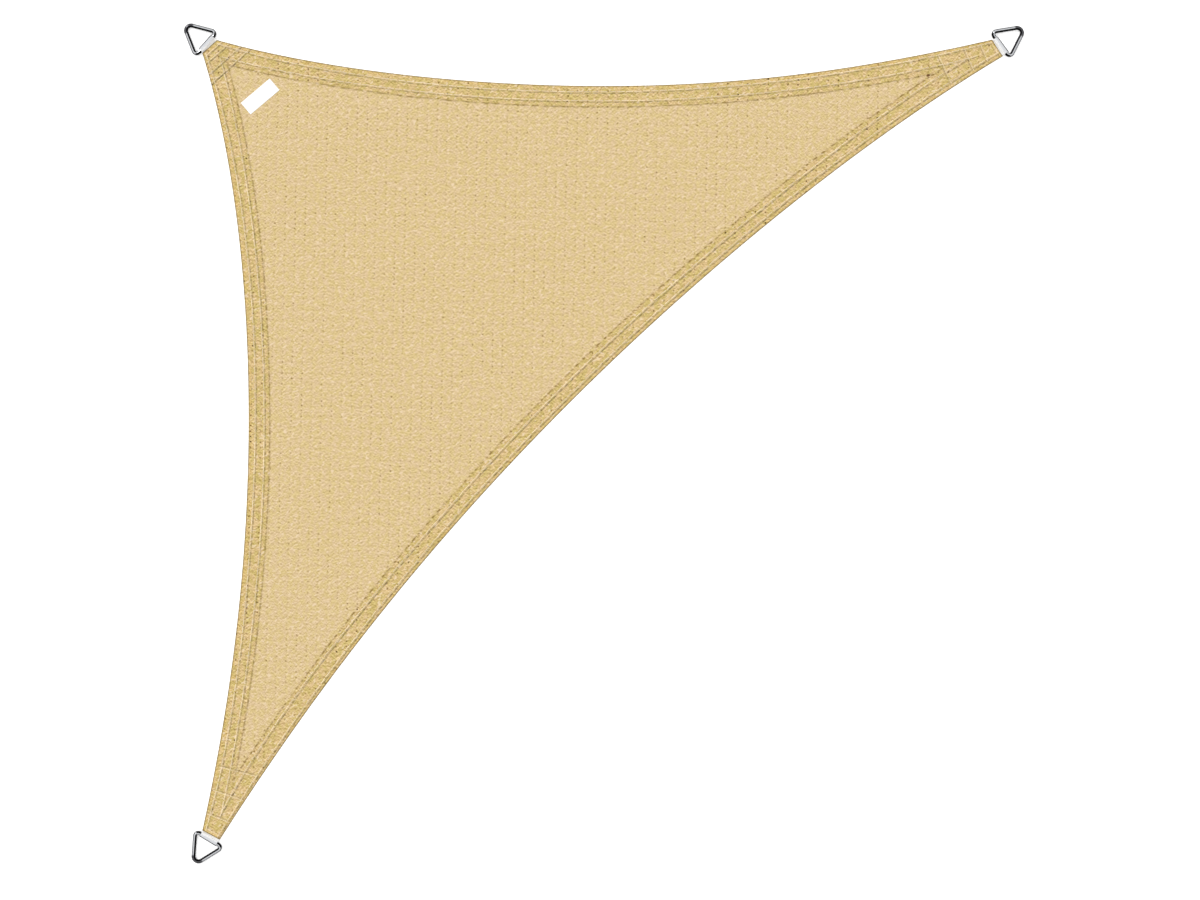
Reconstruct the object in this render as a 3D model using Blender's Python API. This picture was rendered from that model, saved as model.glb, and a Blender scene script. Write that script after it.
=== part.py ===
"""A right-angled triangular shade sail of knitted cloth, lying flat with its face up.

The cloth has hollow edges, a wide hem along each of them and three corners cut straight
across. A webbing loop comes out of each corner and holds a triangular steel ring. A blank
label is sewn on near the top left corner. The sail lies on z = 0 with its right angle at
the top left: +X runs along the top edge and +Y up the left edge. Metres throughout.
"""

import math

import bmesh
import bpy
import numpy as np
from mathutils import Vector
from mathutils.geometry import delaunay_2d_cdt

# ---------------------------------------------------------------- driving dimensions
CLOTH = 0.00155           # one layer of cloth: a hem has two, a corner has three
CORNER_EDGE = 0.047       # length of the cut across each corner
CHAMFER = 0.0006          # the hem's folded edge
STEP = 0.0010             # width of the step at the hem's inner edge
CREASE_WIDTH = 0.0032     # the crease that a row of stitches pulls into the cloth
CREASE_DEPTH = 0.00035
BULK_FROM = 0.024         # a corner's third layer starts to thin this far from its cut
BULK_FADE = 0.030         # and it is gone this much further in

STRAP_WIDTH = 0.044
STRAP_THICK = 0.0012
STRAP_TUCK = 0.020        # how far the strap's two ends run in between the layers
BAR_OUT = 0.0096          # from the cut edge to the middle of the ring's bar
GAP = 0.0003              # between pieces that touch

ROD_RADIUS = 0.0048       # the ring's rod, from its middle to a flat
ROD_SIDES = 12
RING_BASE = 0.0765        # the triangle that the rod's centre line would make unbent
RING_HEIGHT = 0.0754
APEX_BEND = 0.012         # bend radii of the centre line
BASE_BEND = 0.0078

LABEL_LENGTH = 0.090
LABEL_WIDTH = 0.036
LABEL_THICK = 0.0009
LABEL_CHAMFER = 0.00025
LABEL_AT = (-0.8185, 0.8258)
LABEL_TURN = 40.2         # degrees from +X to its long side

# Each corner: the middle of its cut edge, the way that edge faces and the way the ring
# points in degrees, and how far the ring has slid along its bar. The cross rows of
# stitches run from edge to edge: how far each is from the cut edge, measured in the
# direction "inward", its own direction, and how far short of the edges it stops.
CORNERS = {
    "top_left": dict(
        at=(-0.9382, 0.9442), faces=132.0, points=138.3, slid=0.0019, inward=-48.0,
        rows=((0.014, 41.0, 0.004), (0.028, 41.0, 0.0), (0.051, 41.0, 0.0),
              (0.071, 42.0, 0.0))),
    "top_right": dict(
        at=(0.9361, 0.9411), faces=32.6, points=36.3, slid=0.0018, inward=203.0,
        rows=((0.010, -60.0, 0.013), (0.037, -66.5, 0.007), (0.076, -67.0, 0.007),
              (0.138, -65.0, 0.007))),
    "bottom_left": dict(
        at=(-0.9351, -0.9319), faces=242.0, points=238.8, slid=0.0005, inward=67.0,
        rows=((0.012, -26.0, 0.013), (0.047, -21.7, 0.005), (0.106, -18.8, 0.005),
              (0.167, -14.7, 0.006))),
}

# Each edge, walked with the cloth on the left: the corners it joins, the depth of its
# hollow and how its curve differs from a plain arch, the hem's width, and the straight
# pieces that make up the curve. Lean moves the deepest place to the start, square fills
# out both ends and skew moves that filling to the start.
EDGES = {
    "left": dict(start="top_left", end="bottom_left", hollow=0.1095, lean=0.11,
                 square=0.098, skew=0.068, hem=0.0505, pieces=30),
    "slope": dict(start="bottom_left", end="top_right", hollow=0.1462, lean=0.0,
                  square=0.061, skew=-0.067, hem=0.0518, pieces=42),
    "top": dict(start="top_right", end="top_left", hollow=0.1095, lean=0.0,
                square=0.047, skew=-0.107, hem=0.0502, pieces=30),
}

# A hem's two rows of stitches wander as a long seam does. For each place along the edge,
# 0 to 1, the table gives how many millimetres in the outer and the inner row run.
STOPS = (0.0, 0.05, 0.10, 0.18, 0.25, 0.35, 0.50, 0.65, 0.75, 0.85, 0.93, 1.0)
ROWS = {
    "left": ((11.0, 13.1, 15.5, 17.8, 19.0, 20.2, 19.0, 17.2, 18.6, 19.0, 17.8, 11.5),
             (41.0, 39.3, 38.3, 38.1, 38.5, 39.5, 40.5, 40.3, 39.5, 39.3, 39.3, 38.5)),
    "slope": ((4.3, 5.6, 6.1, 7.1, 8.3, 8.3, 8.6, 9.5, 10.5, 10.7, 10.5, 9.0),
              (24.0, 33.8, 38.1, 39.0, 36.2, 33.8, 34.8, 32.6, 32.4, 34.8, 36.7, 34.0)),
    "top": ((9.8, 11.9, 13.1, 13.4, 14.3, 15.6, 17.8, 19.0, 18.8, 17.2, 15.5, 11.5),
            (31.0, 36.3, 37.4, 38.1, 38.1, 38.3, 39.2, 39.4, 39.4, 39.3, 39.3, 39.3)),
}
MEETING = 0.035           # an inner row ends this far from the next edge, at that hem's

# ---------------------------------------------------------------- sizes that follow
CORNER_THICK = 3 * CLOTH
SLOT_HEIGHT = 2 * STRAP_THICK + 3 * GAP
SLOT_LOW = (CORNER_THICK - SLOT_HEIGHT) / 2
LOWER_END = SLOT_LOW + GAP + STRAP_THICK / 2
UPPER_END = CORNER_THICK - LOWER_END
ROD_VERTEX = ROD_RADIUS / math.cos(math.pi / ROD_SIDES)
STRAP_BEND = ROD_VERTEX + 1.4 * GAP + STRAP_THICK / 2
STRAP_MOUTH = 3 * GAP      # how far past the cut edge the strap starts to bend
BAR_Z = STRAP_BEND + STRAP_THICK / 2

MERGE = 1e-5              # points of the cloth closer than this are one point
OVERRUN = 0.03            # how far a hem line runs on past its edge's ends, of its length
LEVEL = 0.0001            # both lines of a step lie this far clear of its slope
CROSSING = 0.16           # length of the lines laid across a corner
FINE = 300                # straight pieces of an edge where distances are measured


# ---------------------------------------------------------------- small helpers
def heading(degrees):
    """The unit vector in the plane of the cloth that points this way."""
    angle = math.radians(degrees)
    return Vector((math.cos(angle), math.sin(angle)))


def left_of(vector):
    return Vector((-vector.y, vector.x))


def surface(name, rgb, roughness, metallic=0.0):
    """A plain Principled BSDF material from an sRGB colour of 0 to 255."""
    material = bpy.data.materials.new(name)
    material.use_nodes = True
    shader = material.node_tree.nodes["Principled BSDF"]
    linear = [((c / 255 + 0.055) / 1.055) ** 2.4 for c in rgb]
    shader.inputs["Base Color"].default_value = (*linear, 1.0)
    shader.inputs["Roughness"].default_value = roughness
    shader.inputs["Metallic"].default_value = metallic
    return material


def add_object(name, mesh_data, material, smooth_angle=None):
    """An object from a finished bmesh, its faces turned outwards."""
    bmesh.ops.recalc_face_normals(mesh_data, faces=mesh_data.faces[:])
    mesh = bpy.data.meshes.new(name)
    mesh_data.to_mesh(mesh)
    mesh_data.free()
    if smooth_angle is not None:
        mesh.shade_smooth()
        mesh.set_sharp_from_angle(angle=math.radians(smooth_angle))
    piece = bpy.data.objects.new(name, mesh)
    if material is not None:
        piece.data.materials.append(material)
    bpy.context.scene.collection.objects.link(piece)
    return piece


# ---------------------------------------------------------------- the cloth's outline
def corner_ends(name):
    """The two ends of a corner's cut edge, in the order of the walk round the cloth."""
    corner = CORNERS[name]
    half = left_of(heading(corner["faces"])) * CORNER_EDGE / 2
    middle = Vector(corner["at"])
    return middle - half, middle + half


def edge_point(edge, along, inset=0.0):
    """A point of an edge's curve, 0 to 1 along it, moved straight into the cloth."""
    start = corner_ends(edge["start"])[1]
    run = corner_ends(edge["end"])[0] - start
    inward = left_of(run).normalized()
    arch = along * (1 - along)
    side = 1 - 2 * along
    lean, square, skew = edge["lean"], edge["square"], edge["skew"]
    shape = 1 + lean * side + square * side ** 2 + skew * side ** 3
    shape_rate = -2 * (lean + 2 * square * side + 3 * skew * side ** 2)
    bow = 4 * edge["hollow"] * arch * shape
    bow_rate = 4 * edge["hollow"] * (side * shape + arch * shape_rate)
    tangent = run + inward * bow_rate
    return start + run * along + inward * bow + left_of(tangent).normalized() * inset


def edge_line(edge, inset, overrun=0.0, pieces=None):
    """The points of an edge's curve, or of a line beside it."""
    pieces = pieces or edge["pieces"]
    stops = [i / pieces for i in range(pieces + 1)]
    if overrun:
        stops = [-overrun, *stops, 1 + overrun]
    inset_at = inset if callable(inset) else lambda along: inset
    return [edge_point(edge, along, inset_at(along)) for along in stops]


def row_inset(name, rank, shift=0.0):
    """How far in a row of stitches runs, as a function of the place along its edge."""
    table = [millimetres / 1000 for millimetres in ROWS[name][rank]]
    return lambda along: float(np.interp(along, STOPS, table)) + shift


def outline():
    """The cloth's edge as one loop. Each edge's ends are its corners' ends."""
    return [point for edge in EDGES.values() for point in edge_line(edge, 0.0)]


def row_ends(corner, distance, degrees):
    """A cross row's line, long enough to leave the cloth on both sides."""
    middle = Vector(corner["at"]) + heading(corner["inward"]) * distance
    half = heading(degrees) * CROSSING / 2
    return middle - half, middle + half


def beside_cut(corner, depth):
    """A line this far in from a corner's cut and level with it."""
    middle = Vector(corner["at"]) - heading(corner["faces"]) * depth
    aside = left_of(heading(corner["faces"])) * CROSSING / 2
    return middle - aside, middle + aside


# ---------------------------------------------------------------- the cloth's thickness
def distance_to_line(points, line):
    """How far each point is from a line of straight pieces."""
    nearest = np.full(len(points), np.inf)
    for start, end in zip(line[:-1], line[1:]):
        run = end - start
        share = np.clip((points - start) @ run / (run @ run), 0.0, 1.0)
        offset = points - start - share[:, None] * run
        nearest = np.minimum(nearest, np.hypot(offset[:, 0], offset[:, 1]))
    return nearest


def crease(distance):
    """How much of a crease's depth there is this far from its middle."""
    return np.clip(1 - distance / (CREASE_WIDTH / 2 - LEVEL), 0.0, 1.0)


def cloth_height(points):
    """The height of the cloth's upper face: its layers, less the creases and folds."""
    insets = {name: distance_to_line(points, np.array(edge_line(edge, 0.0, OVERRUN, FINE)))
              for name, edge in EDGES.items()}
    hems = np.zeros(len(points))
    bulk = np.zeros(len(points))
    pressed = np.zeros(len(points))
    for name, inset in insets.items():
        step = (EDGES[name]["hem"] - inset) / (STEP - 2 * LEVEL)
        hems = np.maximum(hems, np.clip(step + 0.5, 0.0, 1.0))
        others = np.minimum(*[insets[other] for other in EDGES if other != name])
        for rank in (0, 1):
            line = np.array(edge_line(EDGES[name], row_inset(name, rank), OVERRUN))
            shown = 1.0 if rank == 0 else others > MEETING
            pressed = np.maximum(pressed, crease(distance_to_line(points, line)) * shown)
    nearest = np.minimum.reduce(list(insets.values()))
    for corner in CORNERS.values():
        depth = (points - np.array(corner["at"])) @ -np.array(heading(corner["faces"]))
        bulk = np.maximum(bulk, np.clip(1 - (depth - BULK_FROM) / BULK_FADE, 0.0, 1.0))
        for distance, degrees, short in corner["rows"]:
            line = np.array(row_ends(corner, distance, degrees))
            near = crease(distance_to_line(points, line)) * (nearest >= short)
            pressed = np.maximum(pressed, near)
    folded = np.clip(1 - nearest / CHAMFER, 0.0, 1.0)
    return (1 + hems + bulk) * CLOTH - pressed * CREASE_DEPTH - folded * CHAMFER


# ---------------------------------------------------------------- the cloth's mesh
def inside(points, loop):
    """Which of the points lie inside a closed loop."""
    result = np.zeros(len(points), dtype=bool)
    for start, end in zip(loop, np.roll(loop, -1, axis=0)):
        spans = (start[1] > points[:, 1]) != (end[1] > points[:, 1])
        rise = end[1] - start[1] if end[1] != start[1] else 1.0
        crossing = start[0] + (points[:, 1] - start[1]) * (end[0] - start[0]) / rise
        result ^= spans & (points[:, 0] < crossing)
    return result


def fill(loop, lines=()):
    """Triangles inside a loop that keep the loop and every line as edges."""
    points = list(loop)
    edges = [(i, (i + 1) % len(loop)) for i in range(len(loop))]
    for line in lines:
        first = len(points)
        points += line
        edges += [(i, i + 1) for i in range(first, len(points) - 1)]
    found, _, faces, *_ = delaunay_2d_cdt(points, edges, [], 0, MERGE)
    places = np.array([tuple(point) for point in found])
    middles = np.array([places[list(face)].mean(axis=0) for face in faces])
    keep = inside(middles, np.array([tuple(point) for point in loop]))
    return places, [face for face, wanted in zip(faces, keep) if wanted]


def hem_lines():
    """Every line across the cloth where its thickness changes."""
    lines = []
    half_crease = (-CREASE_WIDTH / 2, 0.0, CREASE_WIDTH / 2)
    for name, edge in EDGES.items():
        insets = [CHAMFER, edge["hem"] - STEP / 2, edge["hem"] + STEP / 2]
        insets += [row_inset(name, rank, shift) for rank in (0, 1) for shift in half_crease]
        lines += [edge_line(edge, inset, OVERRUN) for inset in insets]
    for corner in CORNERS.values():
        lines += [list(beside_cut(corner, BULK_FROM + fade)) for fade in (0.0, BULK_FADE)]
        for distance, degrees, _ in corner["rows"]:
            across = left_of(heading(degrees))
            start, end = row_ends(corner, distance, degrees)
            lines += [[start + across * shift, end + across * shift] for shift in half_crease]
    return lines


def boundary_loop(faces):
    """The open edges of a set of faces, as one loop of point numbers."""
    following = {}
    for face in faces:
        for start, end in zip(face, face[1:] + face[:1]):
            following[start] = following.get(start, set()) | {end}
    open_edges = {start: end for start, ends in following.items() for end in ends
                  if start not in following.get(end, set())}
    loop = [next(iter(open_edges))]
    while open_edges[loop[-1]] != loop[0]:
        loop.append(open_edges[loop[-1]])
    return loop


def slot_cutter(name):
    """The room between a corner's layers that the strap's two ends lie in."""
    corner = CORNERS[name]
    length = STRAP_TUCK + GAP
    overhang = 0.005
    box = bmesh.new()
    bmesh.ops.create_cube(box, size=1.0)
    size = Vector((length + overhang, STRAP_WIDTH + 2 * GAP, SLOT_HEIGHT))
    bmesh.ops.scale(box, vec=size, verts=box.verts[:])
    middle = Vector(((overhang - length) / 2, 0.0, SLOT_LOW + SLOT_HEIGHT / 2))
    bmesh.ops.translate(box, vec=middle, verts=box.verts[:])
    cutter = add_object("slot_" + name, box, None)
    cutter.location = (*corner["at"], 0.0)
    cutter.rotation_euler.z = math.radians(corner["faces"])
    cutter.hide_render = True
    cutter.display_type = "WIRE"
    return cutter


def make_sail():
    """The cloth with its folded hems: one flat sheet, thicker where it is folded."""
    places, faces = fill(outline(), hem_lines())
    rim = boundary_loop(faces)
    under_places, under_faces = fill([Vector(places[i]) for i in rim])

    sheet = bmesh.new()
    heights = cloth_height(places)
    used = sorted({i for face in faces for i in face})
    top = {i: sheet.verts.new((*places[i], heights[i])) for i in used}
    under = [sheet.verts.new((*place, 0.0)) for place in under_places]
    for face in faces:
        sheet.faces.new([top[i] for i in face])
    for face in under_faces:
        sheet.faces.new([under[i] for i in reversed(face)])
    count = len(rim)
    for i in range(count):
        after = (i + 1) % count
        sheet.faces.new([under[i], under[after], top[rim[after]], top[rim[i]]])

    sail = add_object("sail", sheet, surface("knit", (225, 199, 149), 0.9))
    for name in CORNERS:
        slot = sail.modifiers.new("slot_" + name, "BOOLEAN")
        slot.operation = "DIFFERENCE"
        slot.solver = "EXACT"
        slot.object = slot_cutter(name)
    return sail


# ---------------------------------------------------------------- the webbing loops
def tangent_angle(point, centre, radius, side):
    """Where a straight line from a point touches a circle, as an angle round it."""
    away = point - centre
    return math.atan2(away.y, away.x) % (2 * math.pi) + side * math.acos(radius / away.length)


def strap_path(bar_out, bends=14):
    """The strap's centre line seen from its side: in, round the bar and back."""
    centre = Vector((bar_out, BAR_Z))
    lower = Vector((STRAP_MOUTH, LOWER_END))
    upper = Vector((STRAP_MOUTH, UPPER_END))
    first = tangent_angle(lower, centre, STRAP_BEND, 1)
    last = tangent_angle(upper, centre, STRAP_BEND, -1) + 2 * math.pi
    arc = [first + (last - first) * i / bends for i in range(bends + 1)]
    bend = [centre + STRAP_BEND * Vector((math.cos(a), math.sin(a))) for a in arc]
    ends = Vector((-STRAP_TUCK, LOWER_END)), Vector((-STRAP_TUCK, UPPER_END))
    return [ends[0], lower, *bend, upper, ends[1]]


def band_section(path, thickness):
    """A band's outline: its centre line moved out on one side and back on the other."""
    sides = [], []
    for i, point in enumerate(path):
        before = (point - path[i - 1]).normalized() if i > 0 else None
        after = (path[i + 1] - point).normalized() if i + 1 < len(path) else None
        way = ((before or after) + (after or before)).normalized()
        reach = thickness / 2 / way.dot(after or before)
        sides[0].append(point + left_of(way) * reach)
        sides[1].append(point - left_of(way) * reach)
    return sides[0] + sides[1][::-1]


def make_loop(name, material):
    """A length of webbing folded round the ring's bar, slanted as the bar is."""
    corner = CORNERS[name]
    slant = math.tan(math.radians(corner["points"] - corner["faces"]))
    band = bmesh.new()
    rims = []
    for share in (-0.5, -0.25, 0.0, 0.25, 0.5):
        across = STRAP_WIDTH * share
        section = band_section(strap_path(BAR_OUT - across * slant), STRAP_THICK)
        rims.append([band.verts.new((point.x, across, point.y)) for point in section])
    count = len(rims[0])
    for near, far in zip(rims[:-1], rims[1:]):
        for i in range(count):
            after = (i + 1) % count
            band.faces.new([near[i], near[after], far[after], far[i]])
    for rim in (rims[0], rims[-1]):
        band.faces.new(rim)
    loop = add_object("loop_" + name, band, material, smooth_angle=35)
    loop.location = (*corner["at"], 0.0)
    loop.rotation_euler.z = math.radians(corner["faces"])
    return loop


# ---------------------------------------------------------------- the rings
def bent_loop(corners):
    """A closed line round to the left through corners of (place, bend radius, pieces)."""
    line = []
    for i, (place, radius, pieces) in enumerate(corners):
        came = (place - corners[i - 1][0]).normalized()
        goes = (corners[(i + 1) % len(corners)][0] - place).normalized()
        turn = math.acos(came.dot(goes))
        centre = place - came * radius * math.tan(turn / 2) + left_of(came) * radius
        arriving = math.degrees(math.atan2(came.y, came.x))
        for step in range(pieces + 1):
            way = heading(arriving + math.degrees(turn) * step / pieces)
            line.append((centre - left_of(way) * radius, way))
    return line


def make_ring_mesh():
    """A round rod bent to a triangle, its bar along Y and its point towards +X."""
    half = RING_BASE / 2
    line = bent_loop([(Vector((RING_HEIGHT, 0.0)), APEX_BEND, 7),
                      (Vector((0.0, half)), BASE_BEND, 6),
                      (Vector((0.0, -half)), BASE_BEND, 6)])
    rod = bmesh.new()
    turns = [2 * math.pi * (k + 0.5) / ROD_SIDES for k in range(ROD_SIDES)]
    hoops = []
    for place, way in line:
        aside = left_of(way)
        hoop = []
        for turn in turns:
            point = place + aside * ROD_VERTEX * math.cos(turn)
            hoop.append(rod.verts.new((point.x, point.y, ROD_VERTEX * math.sin(turn))))
        hoops.append(hoop)
    for i, hoop in enumerate(hoops):
        following = hoops[(i + 1) % len(hoops)]
        for k in range(ROD_SIDES):
            beside = (k + 1) % ROD_SIDES
            rod.faces.new([hoop[k], hoop[beside], following[beside], following[k]])
    return rod


def make_ring(name, material):
    """The ring in its loop, its point leaning down to rest on the ground."""
    corner = CORNERS[name]
    half_angle = math.atan2(RING_BASE / 2, RING_HEIGHT)
    reach = RING_HEIGHT - APEX_BEND * (1 / math.sin(half_angle) - 1)
    half_flat = ROD_RADIUS * math.tan(math.pi / ROD_SIDES)
    ring = add_object("ring_" + name, make_ring_mesh(), material, smooth_angle=40)
    bar = (Vector(corner["at"]) + heading(corner["faces"]) * BAR_OUT
           + left_of(heading(corner["points"])) * corner["slid"])
    ring.location = (*bar, BAR_Z)
    lean = math.asin((BAR_Z - ROD_RADIUS) / (reach + half_flat))
    ring.rotation_euler = (0.0, lean, math.radians(corner["points"]))
    return ring


# ---------------------------------------------------------------- the label
def make_label(material):
    """A flat woven label with its edges eased."""
    plate = bmesh.new()
    levels = ((0.0, 0.0), (LABEL_THICK - LABEL_CHAMFER, 0.0), (LABEL_THICK, LABEL_CHAMFER))
    rims = []
    for height, inset in levels:
        x = LABEL_LENGTH / 2 - inset
        y = LABEL_WIDTH / 2 - inset
        rims.append([plate.verts.new((*place, height))
                     for place in ((-x, -y), (x, -y), (x, y), (-x, y))])
    for low, high in zip(rims[:-1], rims[1:]):
        for i in range(4):
            plate.faces.new([low[i], low[(i + 1) % 4], high[(i + 1) % 4], high[i]])
    plate.faces.new(rims[0][::-1])
    plate.faces.new(rims[-1])
    label = add_object("label", plate, material)
    label.location = (*LABEL_AT, CLOTH + GAP)
    label.rotation_euler.z = math.radians(LABEL_TURN)
    return label


def main():
    for old in list(bpy.data.objects):
        bpy.data.objects.remove(old, do_unlink=True)
    webbing = surface("webbing", (244, 244, 242), 0.8)
    steel = surface("steel", (196, 197, 200), 0.18, metallic=1.0)
    make_sail()
    for name in CORNERS:
        make_loop(name, webbing)
        make_ring(name, steel)
    make_label(surface("label", (246, 246, 244), 0.75))


main()
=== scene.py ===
# %% [markdown]
# # A shade sail, finished around its imported solids
# The solids come first, as a fixed frame: their places are the places of everything here.
# The cloth, its sewing, the webbing, the rings and the label are then made again with the
# detail that the solids leave out, each at the same place and inside the same box.

# %% Load the frame and list its nodes
import math
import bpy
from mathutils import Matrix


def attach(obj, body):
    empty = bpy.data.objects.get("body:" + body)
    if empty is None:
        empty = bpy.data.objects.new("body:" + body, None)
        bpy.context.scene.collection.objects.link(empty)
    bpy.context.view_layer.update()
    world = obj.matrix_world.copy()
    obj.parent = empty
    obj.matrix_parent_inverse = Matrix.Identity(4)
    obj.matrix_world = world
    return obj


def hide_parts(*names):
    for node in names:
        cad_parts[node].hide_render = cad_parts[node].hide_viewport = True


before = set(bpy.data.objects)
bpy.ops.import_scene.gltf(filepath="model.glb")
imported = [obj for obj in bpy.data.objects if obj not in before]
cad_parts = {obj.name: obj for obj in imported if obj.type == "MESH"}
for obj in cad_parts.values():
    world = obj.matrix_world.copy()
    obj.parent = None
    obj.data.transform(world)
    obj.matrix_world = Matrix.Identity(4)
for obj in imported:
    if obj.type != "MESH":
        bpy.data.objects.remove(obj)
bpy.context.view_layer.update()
print("nodes:", ", ".join(sorted(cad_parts)))

import bmesh
import bpy
import numpy as np
from mathutils import Euler, Matrix, Vector
from mathutils.geometry import delaunay_2d_cdt

scene = bpy.context.scene
print("Blender", bpy.app.version_string)

# %% [markdown]
# ## Camera, floor and light
# The sail is seen from straight above, so a long lens looks down at it. The floor is
# nearly white. Most of the light is the sky, which is bright overhead and dark at the
# horizon: that draws thin dark lines along polished rods, next to painted reflections in the
# steel's colour. A weaker lamp stands to the
# upper left, so that every raised thread has a lit side and a shaded one.

# %% A camera straight above
CAMERA_AT = (-0.0095, -0.0156)
VIEW_WIDTH = 2.857
LENS = 85.0
SENSOR = 36.0
FARTHEST = 60.0


def add_object(name, data):
    """A new object in the scene, at the world's origin."""
    made = bpy.data.objects.new(name, data)
    scene.collection.objects.link(made)
    return made


camera_data = bpy.data.cameras.new("camera_above")
camera_data.lens = LENS
camera_data.sensor_width = SENSOR
camera_data.clip_end = FARTHEST
camera = add_object("camera_above", camera_data)
camera.location = (*CAMERA_AT, VIEW_WIDTH * LENS / SENSOR)
scene.camera = camera
scene.view_settings.view_transform = "Standard"
print(f"camera {camera.location.z:.2f} m above the floor")


# %% Helpers for shader nodes
def linear(red, green, blue):
    """A colour of 0 to 255, as seen on a screen, in the renderer's linear numbers."""
    parts = [c / 255 for c in (red, green, blue)]
    return (*[p / 12.92 if p < 0.0405 else ((p + 0.055) / 1.055) ** 2.4 for p in parts], 1.0)


def add_node(tree, kind, values=(), **settings):
    """A node with its settings, and its inputs given in order, by name or by number."""
    made = tree.nodes.new(kind)
    for key, value in settings.items():
        setattr(made, key, value)
    pairs = values.items() if isinstance(values, dict) else enumerate(values)
    for key, value in pairs:
        if isinstance(value, bpy.types.NodeSocket):
            tree.links.new(value, made.inputs[key])
        else:
            made.inputs[key].default_value = value
    return made


grey = [round(value, 3) for value in linear(128, 128, 128)[:3]]
print("the middle grey of a screen is", grey[0], "in linear light")


# %% A recipe for a material
class Recipe:
    """A material's node tree, with short calls for the nodes that the finishes share."""

    def __init__(self, name, roughness, metallic=0.0):
        self.material = bpy.data.materials.new(name)
        self.material.use_nodes = True
        self.tree = self.material.node_tree
        self.shader = self.tree.nodes["Principled BSDF"]
        self.shader.inputs["Roughness"].default_value = roughness
        self.shader.inputs["Metallic"].default_value = metallic

    def node(self, kind, values=(), **settings):
        return add_node(self.tree, kind, values, **settings)

    def math(self, operation, *values):
        return self.node("ShaderNodeMath", values, operation=operation).outputs[0]

    def mix(self, amount, first, second, blend="MIX"):
        """One colour over another. Inputs 6 and 7 are the two colours, output 2 the result."""
        values = {0: amount, 6: first, 7: second}
        return self.node("ShaderNodeMix", values, data_type="RGBA", blend_type=blend).outputs[2]

    def ramp(self, value, low, high, to_low=0.0, to_high=1.0, smooth=True):
        """A value between low and high, turned into one between to_low and to_high."""
        kind = "SMOOTHSTEP" if smooth else "LINEAR"
        values = [value, low, high, to_low, to_high]
        made = self.node("ShaderNodeMapRange", values, interpolation_type=kind)
        return made.outputs[0]

    def noise(self, place, scale, detail=2.0, roughness=0.5):
        values = {"Vector": place, "Scale": scale, "Detail": detail, "Roughness": roughness}
        return self.node("ShaderNodeTexNoise", values).outputs["Fac"]

    def turned(self, place, degrees):
        values = {"Vector": place, "Rotation": (0.0, 0.0, math.radians(degrees))}
        return self.node("ShaderNodeMapping", values).outputs[0]

    def strokes(self, place, degrees, length, width, detail=0.0):
        """A noise drawn out into short strokes that lean by some degrees from +X."""
        scale = (0.5 / length, 0.5 / width, 0.5 / length)
        values = {"Vector": self.turned(place, -degrees), "Scale": scale}
        return self.noise(self.node("ShaderNodeMapping", values).outputs[0], 1.0, detail)

    def attribute(self, name):
        return self.node("ShaderNodeAttribute", attribute_name=name).outputs["Fac"]

    def place(self):
        return self.node("ShaderNodeTexCoord").outputs["Object"]

    def colour(self, socket):
        self.tree.links.new(socket, self.shader.inputs["Base Color"])

    def roughness(self, socket):
        self.tree.links.new(socket, self.shader.inputs["Roughness"])

    def bump(self, height, distance, strength=1.0):
        values = {"Height": height, "Distance": distance, "Strength": strength}
        made = self.node("ShaderNodeBump", values)
        self.tree.links.new(made.outputs[0], self.shader.inputs["Normal"])


# %% The floor
FLOOR_DROP = 0.0003
FLOOR_SIZE = 60.0
FLOOR_GLOW = 0.3          # the sheet is lit a little from below, so shadows on it stay faint


def make_floor():
    mesh = bpy.data.meshes.new("floor")
    half = FLOOR_SIZE / 2
    corners = [(-half, -half), (half, -half), (half, half), (-half, half)]
    mesh.from_pydata([(x, y, -FLOOR_DROP) for x, y in corners], [], [(0, 1, 2, 3)])
    floor = add_object("floor", mesh)
    finish = Recipe("floor_paper", 0.9)
    finish.shader.inputs["Emission Color"].default_value = (1.0, 1.0, 1.0, 1.0)
    finish.shader.inputs["Emission Strength"].default_value = FLOOR_GLOW
    grain = finish.noise(finish.place(), 3.0)
    finish.colour(finish.mix(grain, linear(246, 246, 246), linear(250, 250, 250)))
    mesh.materials.append(finish.material)
    return floor


make_floor()
print("floor laid", FLOOR_SIZE, "m wide")

# %% The sky and the lamp
SKY_STRENGTH = 1.4
SKY_STOPS = ((0.0, 0.10), (0.42, 0.16), (0.60, 0.80), (1.0, 1.15))   # height, brightness
LAMP_STRENGTH = 0.95
LAMP_HEIGHT = 48.0        # degrees above the horizon
LAMP_FROM = 135.0         # degrees from +X, so from the upper left
LAMP_SPREAD = 9.0


def make_sky():
    sky = bpy.data.worlds.new("soft_sky")
    sky.use_nodes = True
    tree = sky.node_tree
    place = add_node(tree, "ShaderNodeTexCoord")
    parts = add_node(tree, "ShaderNodeSeparateXYZ", [place.outputs["Generated"]])
    ramp = add_node(tree, "ShaderNodeValToRGB", [parts.outputs["Z"]])
    for position, _ in SKY_STOPS[1:-1]:
        ramp.color_ramp.elements.new(position)
    for element, (_, value) in zip(ramp.color_ramp.elements, SKY_STOPS):
        element.color = (value, value, value, 1.0)
    background = tree.nodes["Background"]
    tree.links.new(ramp.outputs[0], background.inputs["Color"])
    background.inputs["Strength"].default_value = SKY_STRENGTH
    scene.world = sky


def make_lamp():
    data = bpy.data.lights.new("lamp_upper_left", "SUN")
    data.energy = LAMP_STRENGTH
    data.angle = math.radians(LAMP_SPREAD)
    lamp = add_object("lamp_upper_left", data)
    lamp.rotation_euler = (0.0, math.radians(90.0 - LAMP_HEIGHT), math.radians(LAMP_FROM))


make_sky()
make_lamp()
print("sky and lamp are set")

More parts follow.
